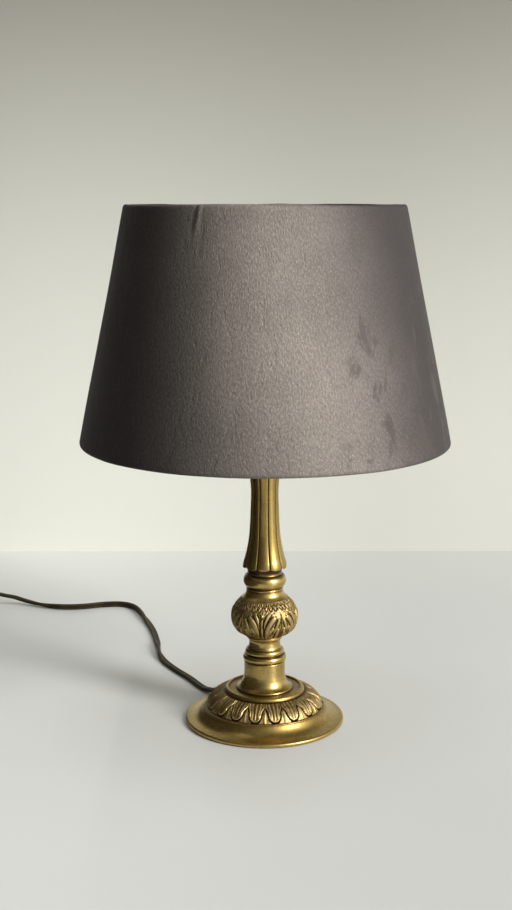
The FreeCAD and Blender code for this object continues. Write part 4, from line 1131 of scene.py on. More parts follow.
@dataclass(frozen=True)
class AcanthusLeaves:
    """Five leaves that climb the knop, each with a twin stem and curling lobes, under rows of leaflets.

    Attributes:
        count: leaves round the knop.
        first: degrees from the front to the middle of one leaf.
        foot_level: level of the leaves' feet.
        stem_top: how high the twin stem climbs.
        crown: where the leaflets start above the foot.
        fade: where the carving ends above the foot.
        leaflets: leaflets round the knop in each row.
        row: height of a row of leaflets.
        cut: distance from a lobe's edge to the cut round it, below 0 as outside, and its width.
        slit: distance from a leaf's middle to the slit beside its stem, and its width.
        seam: width of the groove between two leaves.
        sunk: how far the whole carving is sunk.
        lobes: lobes of one side.
    """

    count: int = 5
    first: float = -5.5
    foot_level: float = 62.4
    stem_top: float = 17.4
    crown: float = 18.6
    fade: float = 27.4
    leaflets: int = 34
    row: float = 2.7
    cut: Point = (-0.36, 0.30)
    slit: Point = (1.15, 0.30)
    seam: float = 0.34
    sunk: float = 0.3
    lobes: tuple[Lobe, ...] = (
        Lobe((3.0, 1.4), (3.9, 5.6), (7.6, 9.4), 1.25),
        Lobe((2.3, 1.6), (3.0, 11.0), (8.8, 17.0), 1.75, 0.65),
        Lobe((1.7, 10.6), (2.5, 16.5), (6.0, 21.2), 1.20),
        Lobe((0.3, 17.6), (0.2, 20.0), (0.0, 22.6), 1.05),
        Lobe((8.0, 1.2), (10.0, 4.0), (11.8, 8.8), 1.15),
        Lobe((7.6, 5.8), (10.4, 9.6), (12.4, 15.6), 1.10),
    )

    def __call__(self, spot: Spot) -> tuple[float, float]:
        """Cuts the leaves with their stems, the seams between them and the leaflets above.

        Args:
            spot: a place on the uncarved surface.

        Returns:
            How far it is lifted, and its dirt from 0 to 1.
        """
        pitch = 360 / self.count
        offset = wrapped(spot.angle - self.first, pitch)
        across = abs(math.radians(offset)) * spot.radius
        half = math.radians(pitch / 2) * spot.radius
        up = spot.level - self.foot_level
        lift, dirt = self.leaf(across, up, offset)
        tile, soil = self.strokes(spot, up)
        crown = smooth(self.crown, self.crown + 2.5, up - 0.12 * across)
        lift, dirt = lift + (tile - lift) * crown, dirt + (soil - dirt) * crown
        shown = 1 - smooth(self.stem_top - 2, self.stem_top, up)
        slit = bump(across, *self.slit) * shown
        lift += 0.30 * bump(across, 0.0, 0.55) * shown - 0.60 * slit
        dirt = max(dirt, 0.92 * slit)
        seam = bump(half - across, 0.0, self.seam) * (1 - smooth(self.crown, self.crown + 3, up))
        lift -= 0.6 * seam
        dirt = max(dirt, 0.9 * seam)
        ends = smooth(-0.6, 1.0, up) * (1 - smooth(self.fade - 2.5, self.fade, up))
        return (lift - self.sunk) * ends, max(dirt, 0.0) * ends + 0.34 * (1 - ends)

    def leaf(self, across: float, up: float, offset: float) -> tuple[float, float]:
        """Cuts one leaf's lobes and stipples the ground between them.

        Args:
            across: distance from the leaf's middle.
            up: height above its foot.
            offset: degrees from its middle.

        Returns:
            Lift and dirt.
        """
        best, lift = FAR_OUTSIDE, 0.0
        for lobe in self.lobes:
            inside, height = lobe.reach(across, up)
            best = max(best, inside)
            lift = max(lift, height)
        if best > 0:
            return lift, 0.20 + 0.34 * (1 - smooth(0.0, 0.45, best))
        cut = bump(best, *self.cut)
        stipple = noise.noise(Vector((across * 1.3, up * 1.6, offset * 0.02)))
        return 0.06 - 0.62 * cut + 0.16 * stipple, 0.30 + 0.62 * cut - 0.25 * stipple

    def strokes(self, spot: Spot, up: float) -> tuple[float, float]:
        """Makes the short slanting cuts over the leaves; each strays a little its own way.

        Args:
            spot: a place on the uncarved surface.
            up: height above the leaves' feet.

        Returns:
            Lift and dirt.
        """
        rank = math.floor(up / self.row)
        rise = up / self.row - rank
        pitch = 360 / self.leaflets
        turn = spot.angle + pitch / 2 * (rank % 2)
        seat = math.floor(turn / pitch + 0.5)
        stray = noise.noise(Vector((seat * 1.7, rank * 2.3, 0.5)))
        side = abs(wrapped(turn + pitch * 0.5 * stray, pitch)) / pitch * 2
        cut = bump(side, 0.10 + 0.75 * rise + 0.3 * stray, 0.20) * smooth(0.0, 0.2, rise)
        return 0.10 - 0.48 * cut, 0.26 + 0.62 * cut + 0.18 * stray


@dataclass(frozen=True)
class StemReeds:
    """Convex reeds up the stem, parted by narrow grooves, with rounded feet over an undercut.

    Attributes:
        count: reeds round the stem.
        groove: degrees from the front to one groove.
        foot_level: lowest point of a reed's rounded foot.
        foot_rise: how much higher the foot is at the grooves.
        core: radius under the feet.
        widest: radius at which the depth is full.
        depth: depth of a groove there.
        top_level: where the reeds end above.
    """

    count: int = 10
    groove: float = 14.0
    foot_level: float = 110.3
    foot_rise: float = 1.3
    core: float = 12.0
    widest: float = 15.6
    depth: float = 1.1
    top_level: float = 198.4

    def __call__(self, spot: Spot) -> tuple[float, float]:
        """Rounds the reeds, cuts the grooves, and clears the undercut below them.

        Args:
            spot: a place on the uncarved surface.

        Returns:
            How far it is lifted, and its dirt from 0 to 1.
        """
        pitch = 360 / self.count
        side = abs(wrapped(spot.angle - self.groove - pitch / 2, pitch)) / pitch * 2
        foot = self.foot_level + self.foot_rise * side ** 2.4
        deep = self.depth * (0.35 + 0.65 * spot.radius / self.widest)
        lift = -deep * (0.32 * side ** 2.0 + 0.68 * smooth(0.86, 1.0, side))
        dirt = 0.24 + 0.48 * smooth(0.84, 0.98, side)
        shown = smooth(foot - 0.35, foot + 0.55, spot.level)
        ends = 1 - smooth(self.top_level - 1.5, self.top_level, spot.level)
        lift *= ends
        under = min(self.core - spot.radius, 0.0)
        lift = under * (1 - shown) + lift * shown
        return lift, dirt * shown + 0.85 * (1 - shown)


@dataclass(frozen=True)
class Thread:
    """Screw thread.

    Attributes:
        pitch: rise in one turn.
        depth: height of the crests.
        start: level of the first crest.
        end: level of the last crest.
    """

    pitch: float
    depth: float
    start: float
    end: float

    def __call__(self, spot: Spot) -> tuple[float, float]:
        """Cuts the thread, which runs out at both ends.

        Args:
            spot: a place on the uncarved surface.

        Returns:
            How far it is lifted, and its dirt from 0 to 1.
        """
        wave = math.cos(2 * math.pi * (spot.level / self.pitch - spot.angle / 360))
        ends = smooth(self.start, self.start + 1, spot.level)
        ends *= 1 - smooth(self.end - 1, self.end, spot.level)
        return self.depth * 0.5 * (wave - 1) * ends, 0.5 - 0.4 * wave * ends


@dataclass(frozen=True)
class GripRibs:
    """Ribs for the fingers round a nut.

    Attributes:
        count: ribs round the nut.
        depth: height of a rib.
    """

    count: int = 36
    depth: float = 0.5

    def __call__(self, spot: Spot) -> tuple[float, float]:
        """Lift and dirt at a spot."""
        wave = math.cos(math.radians(spot.angle * self.count))
        return self.depth * 0.5 * (wave - 1), 0.3 - 0.2 * wave


# The candlestick


@dataclass
class Candlestick:
    """Foot, column, collar, knop, ring, stem and cup, all of old brass, with the felt and the tube.

    Attributes:
        bore: radius of the hole for the threaded tube.
        seat: level on which the column stands.
        steps: facets round the plain turned pieces.
        cast_sharp: edges of castings that turn more than this many degrees stay sharp.
        recess: radii between which the casting round the column is left rough.
        recess_level: level above which it is.
        redness: how red that place is, from 0 to 1.
        leaves: carving of the foot.
        acanthus: carving of the knop.
        reeds: carving of the stem.
    """

    bore: float = 5.2
    seat: float = 23.4
    steps: int = 160
    cast_sharp: float = 38.0
    recess: Point = (19.0, 24.6)
    recess_level: float = 22.5
    redness: float = 0.8
    leaves: TongueLeaves = field(default_factory=TongueLeaves)
    acanthus: AcanthusLeaves = field(default_factory=AcanthusLeaves)
    reeds: StemReeds = field(default_factory=StemReeds)

    def build(self, frame: dict) -> None:
        """Makes and dresses each piece, from below.

        Args:
            frame: the loaded frame.
        """
        self.foot()
        self.turn("column_drum", "lower_column", self.column())
        self.turn("collar_reeds", "reeded_collar", self.collar())
        self.turn("acanthus_knop", "leaf_knop", self.knop(), 400, self.acanthus, CAST_BRASS, self.cast_sharp)
        self.turn("bead_over_knop", "bead_ring", self.bead())
        self.turn("reeded_stem", "fluted_stem", self.stem(), 360, self.reeds)
        self.turn("holder_cup", "candle_cup", self.cup(), 128)
        dress_nodes(frame, {
            "base_washer": STEEL, "base_nut": STEEL, "threaded_tube": STEEL, "felt_pad": FELT,
            "cord_bushing": NYLON, "inner_lead": SHEATH,
        })

    def turn(
        self, name: str, node: str, runs: Sequence[Run], steps: int = 0, relief: Relief | None = None,
        finish: Finish = TURNED_BRASS, sharp: float = 40.0,
    ) -> None:
        """Turns a bored piece between two flat faces and gives it its finish.

        Args:
            name: the piece's name.
            node: the node that it replaces.
            runs: its outline from the rim of the lower face to the rim of the upper one.
            steps: facets round the axis, or 0 for the usual number.
            relief: its carving.
            finish: its finish.
            sharp: edges that turn more than this many degrees stay sharp.
        """
        lower, upper = runs[0].points[0], runs[-1].points[-1]
        outline = (Run(((self.bore, lower[1]), lower)), *runs, Run((upper, (self.bore, upper[1]))))
        piece = TurnedPiece(name, outline, steps or self.steps, relief)
        set_up(piece.done(sharp), Body.LAMP, finish, (node,))

    def foot(self) -> None:
        """The cast foot: rim, ogee, ridge, leaf band, bead and the recess round the column."""
        piece = TurnedPiece("foot_casting", (
            Run(((54.5, 0.4), (55.2, 0.65), (55.5, 1.3), (55.45, 2.2), (55.0, 2.8), (54.3, 3.05)),
                (0.7, 0.12, 0.26), step=0.4),
            Run(((54.3, 3.05), (51.6, 3.45), (48.6, 4.25), (46.0, 5.55), (44.0, 7.3), (42.7, 9.1),
                 (42.0, 10.5)), (0.26, 0.16, 0.40)),
            Run(((42.0, 10.5), (42.0, 10.95), (41.7, 11.3), (41.0, 11.4)), (0.45, 0.34, 0.6), step=0.25),
            Run(((41.0, 11.4), (40.6, 11.9), (40.0, 13.3), (38.9, 15.2), (37.2, 17.1), (34.9, 18.9),
                 (32.3, 20.3), (29.9, 21.3), (28.1, 21.8)), (0.7, 0.3, 0.7), carved=True, step=0.32),
            Run(((28.1, 21.8), (28.0, 22.4), (27.6, 23.3), (26.9, 24.05), (26.2, 24.3), (25.5, 24.2),
                 (25.1, 23.85), (25.0, 23.3)), (0.7, 0.26, 0.6), step=0.3),
            Run(((25.0, 23.3), (22.0, 23.2), (19.5, 23.3)), (0.6, 0.42, 0.85), step=0.5),
            Run(((19.5, 23.3), (self.bore, self.seat))),
            Run(((self.bore, self.seat), (self.bore, 20.2), (22.0, 20.2), (33.8, 8.2), (47.0, 2.6),
                 (47.0, 1.8), (50.5, 1.8), (50.5, 0.4)), step=50.0),
        ), steps=720, relief=self.leaves)
        blush = piece.bm.verts.layers.float.new("blush")
        inner, outer = self.recess
        for vert in piece.bm.verts:
            if vert.co.z > self.recess_level and inner < math.hypot(vert.co.x, vert.co.y) < outer:
                vert[blush] = self.redness
        set_up(piece.done(self.cast_sharp), Body.LAMP, CAST_BRASS, ("foot",))

    def column(self) -> tuple[Run, ...]:
        """Outline of the plain drum and its cove."""
        return (
            Run(((19.4, 23.4), (19.75, 23.7), (19.8, 24.4), (19.5, 24.85)), (0.8, 0.1, 0.3), step=0.3),
            Run(((19.5, 24.85), (17.6, 26.0), (16.1, 27.8), (15.1, 30.1), (14.55, 32.6), (14.3, 35.2),
                 (14.3, 42.5)), (0.35, 0.14, 0.2)),
            Run(((14.3, 42.5), (14.28, 43.0), (14.15, 43.2)), (0.2, 0.22, 0.3), step=0.3),
        )

    def collar(self) -> tuple[Run, ...]:
        """Outline of the collar: two beads and a neck."""
        return (
            Run(((14.1, 43.2), (14.4, 43.9), (14.9, 44.7), (15.1, 45.8), (15.0, 46.9), (14.3, 47.9),
                 (13.1, 48.4)), (0.35, 0.14, 0.8), step=0.35),
            Run(((13.1, 48.4), (12.9, 48.7), (13.4, 49.4), (13.6, 50.3), (13.45, 51.2), (12.9, 52.1),
                 (12.0, 52.8)), (0.8, 0.14, 0.4), step=0.35),
            Run(((12.0, 52.8), (11.4, 53.7), (11.05, 54.9), (10.9, 56.4), (10.9, 57.6), (11.1, 58.6)),
                (0.4, 0.12, 0.2), step=0.4),
        )

    def knop(self) -> tuple[Run, ...]:
        """Outline of the knop: a small bead, the carved ball and a neck."""
        return (
            Run(((11.1, 58.6), (11.4, 59.3), (12.1, 59.9), (12.55, 60.6), (12.6, 61.3), (12.3, 61.9)),
                (0.3, 0.12, 0.8), step=0.3),
            Run(((12.3, 61.9), (13.8, 62.7), (16.5, 64.0), (19.1, 65.8), (21.1, 68.1), (22.3, 70.8),
                 (22.95, 73.6), (23.1, 76.2), (22.85, 79.2), (22.1, 81.9), (20.8, 84.3), (19.3, 86.3),
                 (17.7, 87.9), (16.2, 89.2)), (0.6, 0.3, 0.3), carved=True, step=0.36),
            Run(((16.2, 89.2), (14.6, 90.5), (13.5, 91.8), (12.9, 93.2), (12.6, 94.4), (12.5, 95.0)),
                (0.35, 0.1, 0.5), step=0.4),
        )

    def bead(self) -> tuple[Run, ...]:
        """Outline of the step and the large bead over the knop."""
        return (
            Run(((12.3, 95.0), (12.8, 95.3), (12.8, 96.1), (12.4, 96.5)), (0.7, 0.1, 0.8), step=0.3),
            Run(((12.4, 96.5), (13.3, 97.4), (14.3, 98.9), (14.8, 100.6), (14.85, 101.9), (14.4, 103.7),
                 (13.4, 105.2), (12.3, 106.1)), (0.8, 0.1, 0.8), step=0.4),
            Run(((12.3, 106.1), (11.9, 106.8), (11.9, 107.7)), (0.8, 0.4, 0.6), step=0.3),
        )

    def stem(self) -> tuple[Run, ...]:
        """Outline of the waisted stem between its turned foot and top."""
        return (
            Run(((11.9, 107.7), (12.0, 109.2)), (0.7, 0.8, 0.8)),
            Run(((12.0, 109.2), (14.6, 110.0), (15.35, 111.0), (15.4, 112.4), (14.8, 115.2), (13.8, 118.4),
                 (12.3, 124.8), (11.0, 133.0), (10.3, 142.0), (10.0, 150.0), (9.6, 163.0), (10.2, 172.5),
                 (11.6, 186.0), (13.6, 198.4)), carved=True, step=0.55),
            Run(((13.6, 198.4), (14.2, 199.4), (14.2, 202.1)), (0.7, 0.2, 0.3), step=0.6),
        )

    def cup(self) -> tuple[Run, ...]:
        """Outline of the small dish under the lampholder."""
        return (
            Run(((9.5, 202.1), (13.6, 202.7), (17.0, 204.4), (18.7, 206.7), (19.0, 208.6), (19.0, 209.6)),
                (0.5, 0.15, 0.2), step=0.5),
            Run(((19.0, 209.6), (18.7, 210.1), (17.9, 210.1), (17.6, 209.6)), (0.1, 0.05, 0.1), step=0.3),
            Run(((17.6, 209.6), (17.2, 207.4), (15.0, 205.5), (9.5, 204.6)), (0.3, 0.5, 0.6), step=0.5),
        )


# Lampholder and bulb


@dataclass
class Lampholder:
    """The small screw lampholder, the shade's ring nut and the candle bulb.

    Attributes:
        skirt: thread on the lampholder's skirt.
        cap_thread: thread of the bulb's cap.
        ribs: grip of the ring nut.
    """

    skirt: Thread = field(default_factory=lambda: Thread(2.6, 0.45, 232.4, 251.0))
    cap_thread: Thread = field(default_factory=lambda: Thread(2.82, 0.6, 234.0, 247.5))
    ribs: GripRibs = field(default_factory=GripRibs)

    def build(self, frame: dict) -> None:
        """Makes and dresses each piece.

        Args:
            frame: the loaded frame.
        """
        for name, node, body, slot, finish, runs, steps, relief in (
            ("holder_shell", "holder_body", Body.LAMP, Slot.BAKELITE, BAKELITE, self.shell(), 96, self.skirt),
            ("ring_nut_grip", "shade_nut", Body.RING_NUT, Slot.BAKELITE, BAKELITE, self.nut(), 360,
             self.ribs),
            ("bulb_screw_cap", "bulb_cap", Body.BULB, Slot.NICKEL, NICKEL, self.cap(), 96, self.cap_thread),
            ("candle_glass", "bulb_glass", Body.BULB, Slot.GLASS, GLASS, self.glass(), 96, None),
        ):
            set_up(TurnedPiece(name, runs, steps, relief).done(), body, finish, (node,))
        dress_nodes(frame, {
            "holder_cap": BAKELITE, "contact_block": BAKELITE, "centre_contact": CONTACT,
            "screw_shell": NICKEL, "bulb_tip": BAKELITE, "filament_stem": GLASS, "filaments": PHOSPHOR,
        })

    def shell(self) -> tuple[Run, ...]:
        """Outline of the lampholder: sleeve, shoulder and threaded skirt."""
        return (
            Run(((11.6, 219.6), (13.2, 219.6))),
            Run(((13.2, 219.6), (13.2, 229.6))),
            Run(((13.2, 229.6), (16.2, 229.6), (16.6, 230.0), (16.6, 231.2), (16.2, 231.6)), step=0.4),
            Run(((16.2, 231.6), (14.0, 231.6))),
            Run(((14.0, 231.6), (14.0, 251.1)), carved=True, step=0.4),
            Run(((14.0, 251.1), (13.5, 251.6), (7.75, 251.6))),
            Run(((7.75, 251.6), (7.75, 226.4))),
            Run(((7.75, 226.4), (11.6, 226.4))),
            Run(((11.6, 226.4), (11.6, 219.6))),
        )

    def nut(self) -> tuple[Run, ...]:
        """Outline of the ring nut: flange and ribbed grip."""
        return (
            Run(((14.3, 233.1), (19.6, 233.1))),
            Run(((19.6, 233.1), (20.0, 233.5), (20.0, 234.7), (19.6, 235.1)), step=0.3),
            Run(((19.6, 235.1), (17.4, 235.1))),
            Run(((17.4, 235.1), (17.4, 238.7)), carved=True, step=0.6),
            Run(((17.4, 238.7), (17.0, 239.1), (14.8, 239.1), (14.3, 238.6)), step=0.4),
            Run(((14.3, 238.6), (14.3, 233.1))),
        )

    def cap(self) -> tuple[Run, ...]:
        """Outline of the bulb's thin screw cap."""
        return (
            Run(((6.5, 231.3), (6.8, 231.3))),
            Run(((6.8, 231.3), (6.8, 249.3)), carved=True, step=0.4),
            Run(((6.8, 249.3), (6.65, 249.7), (6.4, 249.7))),
            Run(((6.4, 249.7), (6.35, 231.3))),
        )

    def glass(self) -> tuple[Run, ...]:
        """Outline of the blown glass: outer wall, neck and inner wall."""
        return (
            Run(((0.0, 327.7), (1.5, 327.1), (3.2, 325.0), (5.2, 321.2), (8.2, 314.6), (11.8, 305.6),
                 (15.0, 295.6), (17.0, 286.0), (17.5, 278.0), (16.4, 269.0), (13.4, 260.4), (9.4, 254.0),
                 (6.9, 250.6), (6.3, 249.0)), step=1.2),
            Run(((6.3, 249.0), (6.3, 243.7))),
            Run(((6.3, 243.7), (5.5, 243.7))),
            Run(((5.5, 243.7), (5.5, 249.4))),
            Run(((5.5, 249.4), (6.2, 251.2), (8.7, 254.6), (12.7, 261.0), (15.6, 269.4), (16.7, 278.0),
                 (16.2, 285.8), (14.2, 295.4), (11.0, 305.3), (7.4, 314.2), (4.5, 320.6), (2.5, 324.3),
                 (1.2, 326.1), (0.0, 326.7)), step=1.2),
        )


# Shade


@dataclass(frozen=True)
class Wave:
    """Soft waves in cloth.

    Attributes:
        height: their height.
        count: how closely they follow one another round the shade.
        rise: height in which they change; endless where they run straight up.
        start: where in the noise they start.
    """

    height: float
    count: float
    rise: float = math.inf
    start: Point = (0.0, 0.0)

    def at(self, turn: Vector, level: float) -> float:
        """Height of the cloth at a direction from the axis and a level."""
        return self.height * noise.noise(turn * self.count + Vector((*self.start, level / self.rise)))


@dataclass
class Shade:
    """Cone of velvet with a hem rolled round each wire, its stiff lining, and the wire frame.

    Attributes:
        bottom: level of the lower edge.
        top: level of the upper edge.
        bottom_radius: outer radius at the lower edge.
        top_radius: outer radius at the upper edge.
        cloth: thickness of the velvet.
        hem: radius of the rolled hem.
        hem_steps: facets round the hem.
        rings: spacing of the rings up the wall.
        slack: waves of the whole wall.
        ripple: smaller waves on them.
        top_edge: waves that lift the upper edge.
        bottom_edge: waves that lift the lower edge.
        crease: degrees from the front to the small crease under the upper edge.
        crease_lean: degrees by which it leans for each millimetre down.
        crease_span: distances below the upper edge at which it begins and is full.
        lap: height of the step where the cloth laps over itself at the back.
        lap_edge: degrees from the back at which the lap is full and is gone.
        lining_wall: how far inside the outline the lining's inner and outer faces lie.
        lining_margin: distance from the lining's edges to the shade's.
        lining_rings: spacing of its rings.
    """

    bottom: float = 198.0
    top: float = 356.9
    bottom_radius: float = 125.0
    top_radius: float = 93.4
    cloth: float = 1.0
    hem: float = 2.5
    hem_steps: int = 8
    rings: float = 4.6
    slack: Wave = Wave(0.35, 2.3, 90)
    ripple: Wave = Wave(0.14, 7.0, 45, (4, 0))
    top_edge: Wave = Wave(0.55, 4.0, start=(9, 0))
    bottom_edge: Wave = Wave(0.3, 3.0, start=(2, 7))
    crease: float = -25.0
    crease_lean: float = 0.075
    crease_span: Point = (21.0, 8.0)
    lap: float = 0.45
    lap_edge: Point = (3.4, 3.9)
    lining_wall: Point = (1.7, 1.2)
    lining_margin: float = 5.1
    lining_rings: float = 8.0

    def lean(self, level: float) -> float:
        """Radius of the outer wall at a level."""
        share = (level - self.bottom) / (self.top - self.bottom)
        return self.bottom_radius + (self.top_radius - self.bottom_radius) * share

    def settle(self, spot: Spot) -> tuple[float, float]:
        """Finds how far the cloth strays from a true cone: slow waves, a crease, the lap at the back.

        Args:
            spot: a place on the cone.

        Returns:
            The moves outwards and upwards.
        """
        turn = Vector((math.sin(math.radians(spot.angle)), math.cos(math.radians(spot.angle)), 0.0))
        out = self.slack.at(turn, spot.level) + self.ripple.at(turn, spot.level)
        begins, full = self.crease_span
        fold = self.crease - (self.top - spot.level) * self.crease_lean
        drawn = smooth(self.top - begins, self.top - full, spot.level)
        out += 0.85 * bump(spot.angle, fold, 0.8) * drawn
        out -= 0.55 * bump(spot.angle, fold - 1.5, 0.9) * drawn
        out += self.lap * (1 - smooth(*self.lap_edge, abs(wrapped(spot.angle - 180, 360))))
        near_top = smooth(self.top - 26, self.top, spot.level)
        near_bottom = 1 - smooth(self.bottom, self.bottom + 25, spot.level)
        up = self.top_edge.at(turn, 0.0) * near_top
        up += self.bottom_edge.at(turn, 0.0) * near_bottom
        return out, up

    def rim(self, middle: Point, distance: float, start: float, end: float) -> tuple[Point, ...]:
        """Draws an arc round a wire.

        Args:
            middle: radius and level of the wire.
            distance: radius of the arc.
            start: angle of its first point, in radians.
            end: angle of its last point.

        Returns:
            Its points.
        """
        angles = [start + (end - start) * i / self.hem_steps for i in range(self.hem_steps + 1)]
        return tuple((middle[0] + distance * math.cos(a), middle[1] + distance * math.sin(a)) for a in angles)

    def outline(self) -> tuple[Run, ...]:
        """Draws the cloth's closed outline.

        Returns:
            The hem round the bottom wire, outer wall, hem over the top wire, and back down inside.
        """
        slope = math.atan2(self.bottom_radius - self.top_radius, self.top - self.bottom)
        inner = self.hem - self.cloth
        low = (self.bottom_radius - self.hem, self.bottom + self.hem)
        high = (self.top_radius - self.hem, self.top - self.hem)
        low_out, low_in = (self.rim(low, distance, slope, -math.pi) for distance in (self.hem, inner))
        high_out, high_in = (self.rim(high, distance, slope, math.pi) for distance in (self.hem, inner))
        return (
            Run(low_out[::-1], step=0.4),
            Run((low_out[0], high_out[0]), carved=True, step=self.rings),
            Run(high_out, step=0.4),
            Run((high_out[-1], high_in[-1])),
            Run(high_in[::-1], step=0.4),
            Run((high_in[0], low_in[0]), carved=True, step=self.rings),
            Run(low_in, step=0.4),
            Run((low_in[-1], low_out[-1])),
        )

    def build(self, frame: dict) -> None:
        """Makes and dresses each piece.

        Args:
            frame: the loaded frame.
        """
        self.cover()
        self.lining()
        dress_nodes(frame, dict.fromkeys(
            ("top_wire_ring", "bottom_wire_ring", "spider_arms", "carrier_ring"), LACQUER,
        ))

    def cover(self) -> None:
        """The velvet."""
        piece = TurnedPiece("velvet_cover", self.outline(), steps=576)
        piece.shift(self.settle)
        piece.map_surface(self.bottom_radius)
        velvet = set_up(piece.done(60), Body.SHADE, VELVET, ("shade_cover",))

    def lining(self) -> None:
        """The stiff sheet inside the velvet, which follows its waves."""
        low, high = self.bottom + self.lining_margin, self.top - self.lining_margin
        inner, outer = self.lining_wall
        inside = ((self.lean(low) - inner, low), (self.lean(high) - inner, high))
        outside = ((self.lean(high) - outer, high), (self.lean(low) - outer, low))
        piece = TurnedPiece("stiff_lining", (
            Run(inside, carved=True, step=self.lining_rings),
            Run((inside[1], outside[0])),
            Run(outside, carved=True, step=self.lining_rings),
            Run((outside[1], inside[0])),
        ), steps=288)
        piece.shift(lambda spot: (self.settle(spot)[0] - 0.1, 0.0))
        set_up(piece.done(60), Body.SHADE, LINING, ("shade_liner",))


# Cord


ROUTE_TO_SWITCH = (
    (-36.6, 43.7, 3.2), (-45.6, 54.0, 2.9), (-55.0, 75.0, 2.6), (-70.0, 98.0, 2.6), (-82.5, 124.0, 2.6),
    (-86.0, 154.0, 2.6), (-92.0, 190.0, 2.6), (-100.5, 220.0, 2.6), (-107.5, 241.0, 2.6),
    (-114.0, 257.0, 2.6), (-126.0, 265.5, 2.6), (-143.0, 264.0, 2.6), (-161.0, 256.5, 2.6),
    (-180.0, 255.5, 2.6), (-195.0, 262.0, 2.6), (-213.0, 270.8, 4.6), (-229.5, 275.0, 9.0),
    (-244.0, 275.0, 9.0),
)
ROUTE_TO_COIL = (
    (-296.0, 275.0, 9.0), (-314.0, 275.0, 8.4), (-330.0, 266.0, 5.2), (-336.4, 247.0, 3.6),
    (-334.6, 224.0, 3.3),
)
ROUTE_TO_PLUG = (
    (-331.0, 178.0, 8.7), (-332.6, 158.0, 3.6), (-331.8, 138.0, 3.2), (-331.0, 122.0, 6.85),
    (-331.0, 110.0, 6.85),
)


class Lay(Enum):
    """How a length of cord lies."""

    LOOSE = "loose"
    COILED = "coiled"


class FarEnd(Enum):
    """What a length of cord ends in."""

    FITTING = "fitting"
    PLUG = "plug"


SWITCH_NODES = ("switch_base", "switch_cover", "switch_rocker", "switch_contacts", "switch_screws")
PLUG_NODES = ("plug_body", "plug_pins", "pin_sleeves")


def axes_at(across: Vector, upward: Vector, ahead: Vector, place: Vector) -> Matrix:
    """Makes the frame of a ring.

    Args:
        across: its X axis.
        upward: its Y axis.
        ahead: its Z axis.
        place: its middle.

    Returns:
        The matrix.
    """
    matrix = Matrix((across, upward, ahead)).transposed().to_4x4()
    matrix.translation = place
    return matrix


def sweep(
    name: str, section: Sequence[Point], frames: Sequence[Matrix], closed: bool = False, sharp: float = 50.0,
) -> bpy.types.Object:
    """Carries a closed outline along a line of frames; its UV map runs round and along, in metres along.

    Args:
        name: the piece's name.
        section: the outline, anticlockwise as seen from the line's end, in millimetres.
        frames: for each ring its place, in millimetres: X and Y carry the outline, Z points ahead.
        closed: True where the last ring joins the first.
        sharp: edges that turn more than this many degrees stay sharp.

    Returns:
        The piece.
    """
    bm = bmesh.new()
    around = bm.verts.layers.float.new("around")
    along = bm.verts.layers.float.new("along")
    lengths = [math.dist(one, two) for one, two in zip(section, [*section[1:], section[0]])]
    corners = [bm.verts.new(frames[0] @ Vector((x, y, 0))) for x, y in section]
    for index, corner in enumerate(corners):
        corner[around] = sum(lengths[:index]) / sum(lengths)
    edges = [bm.edges.new(pair) for pair in zip(corners, [*corners[1:], corners[0]])]
    first, travelled = edges, 0.0
    line = [*frames, frames[0]] if closed else frames
    for last, here in zip(line, line[1:]):
        made = bmesh.ops.extrude_edge_only(bm, edges=edges)["geom"]
        ring = [item for item in made if isinstance(item, bmesh.types.BMVert)]
        fresh = set(ring)
        edges = [
            item for item in made if isinstance(item, bmesh.types.BMEdge) and fresh.issuperset(item.verts)
        ]
        bmesh.ops.transform(bm, matrix=here @ last.inverted(), verts=ring)
        travelled += (here.translation - last.translation).length * MM
        for vert in ring:
            vert[along] = travelled
    if not closed:
        for rim in (first, edges):
            bmesh.ops.edgeloop_fill(bm, edges=rim)
    lay_map(bm, lambda vert: (vert[around], vert[along]), 1.0)
    bmesh.ops.remove_doubles(bm, verts=bm.verts, dist=SWEEP_MERGE)
    bmesh.ops.recalc_face_normals(bm, faces=bm.faces)
    return to_object(bm, name, sharp)


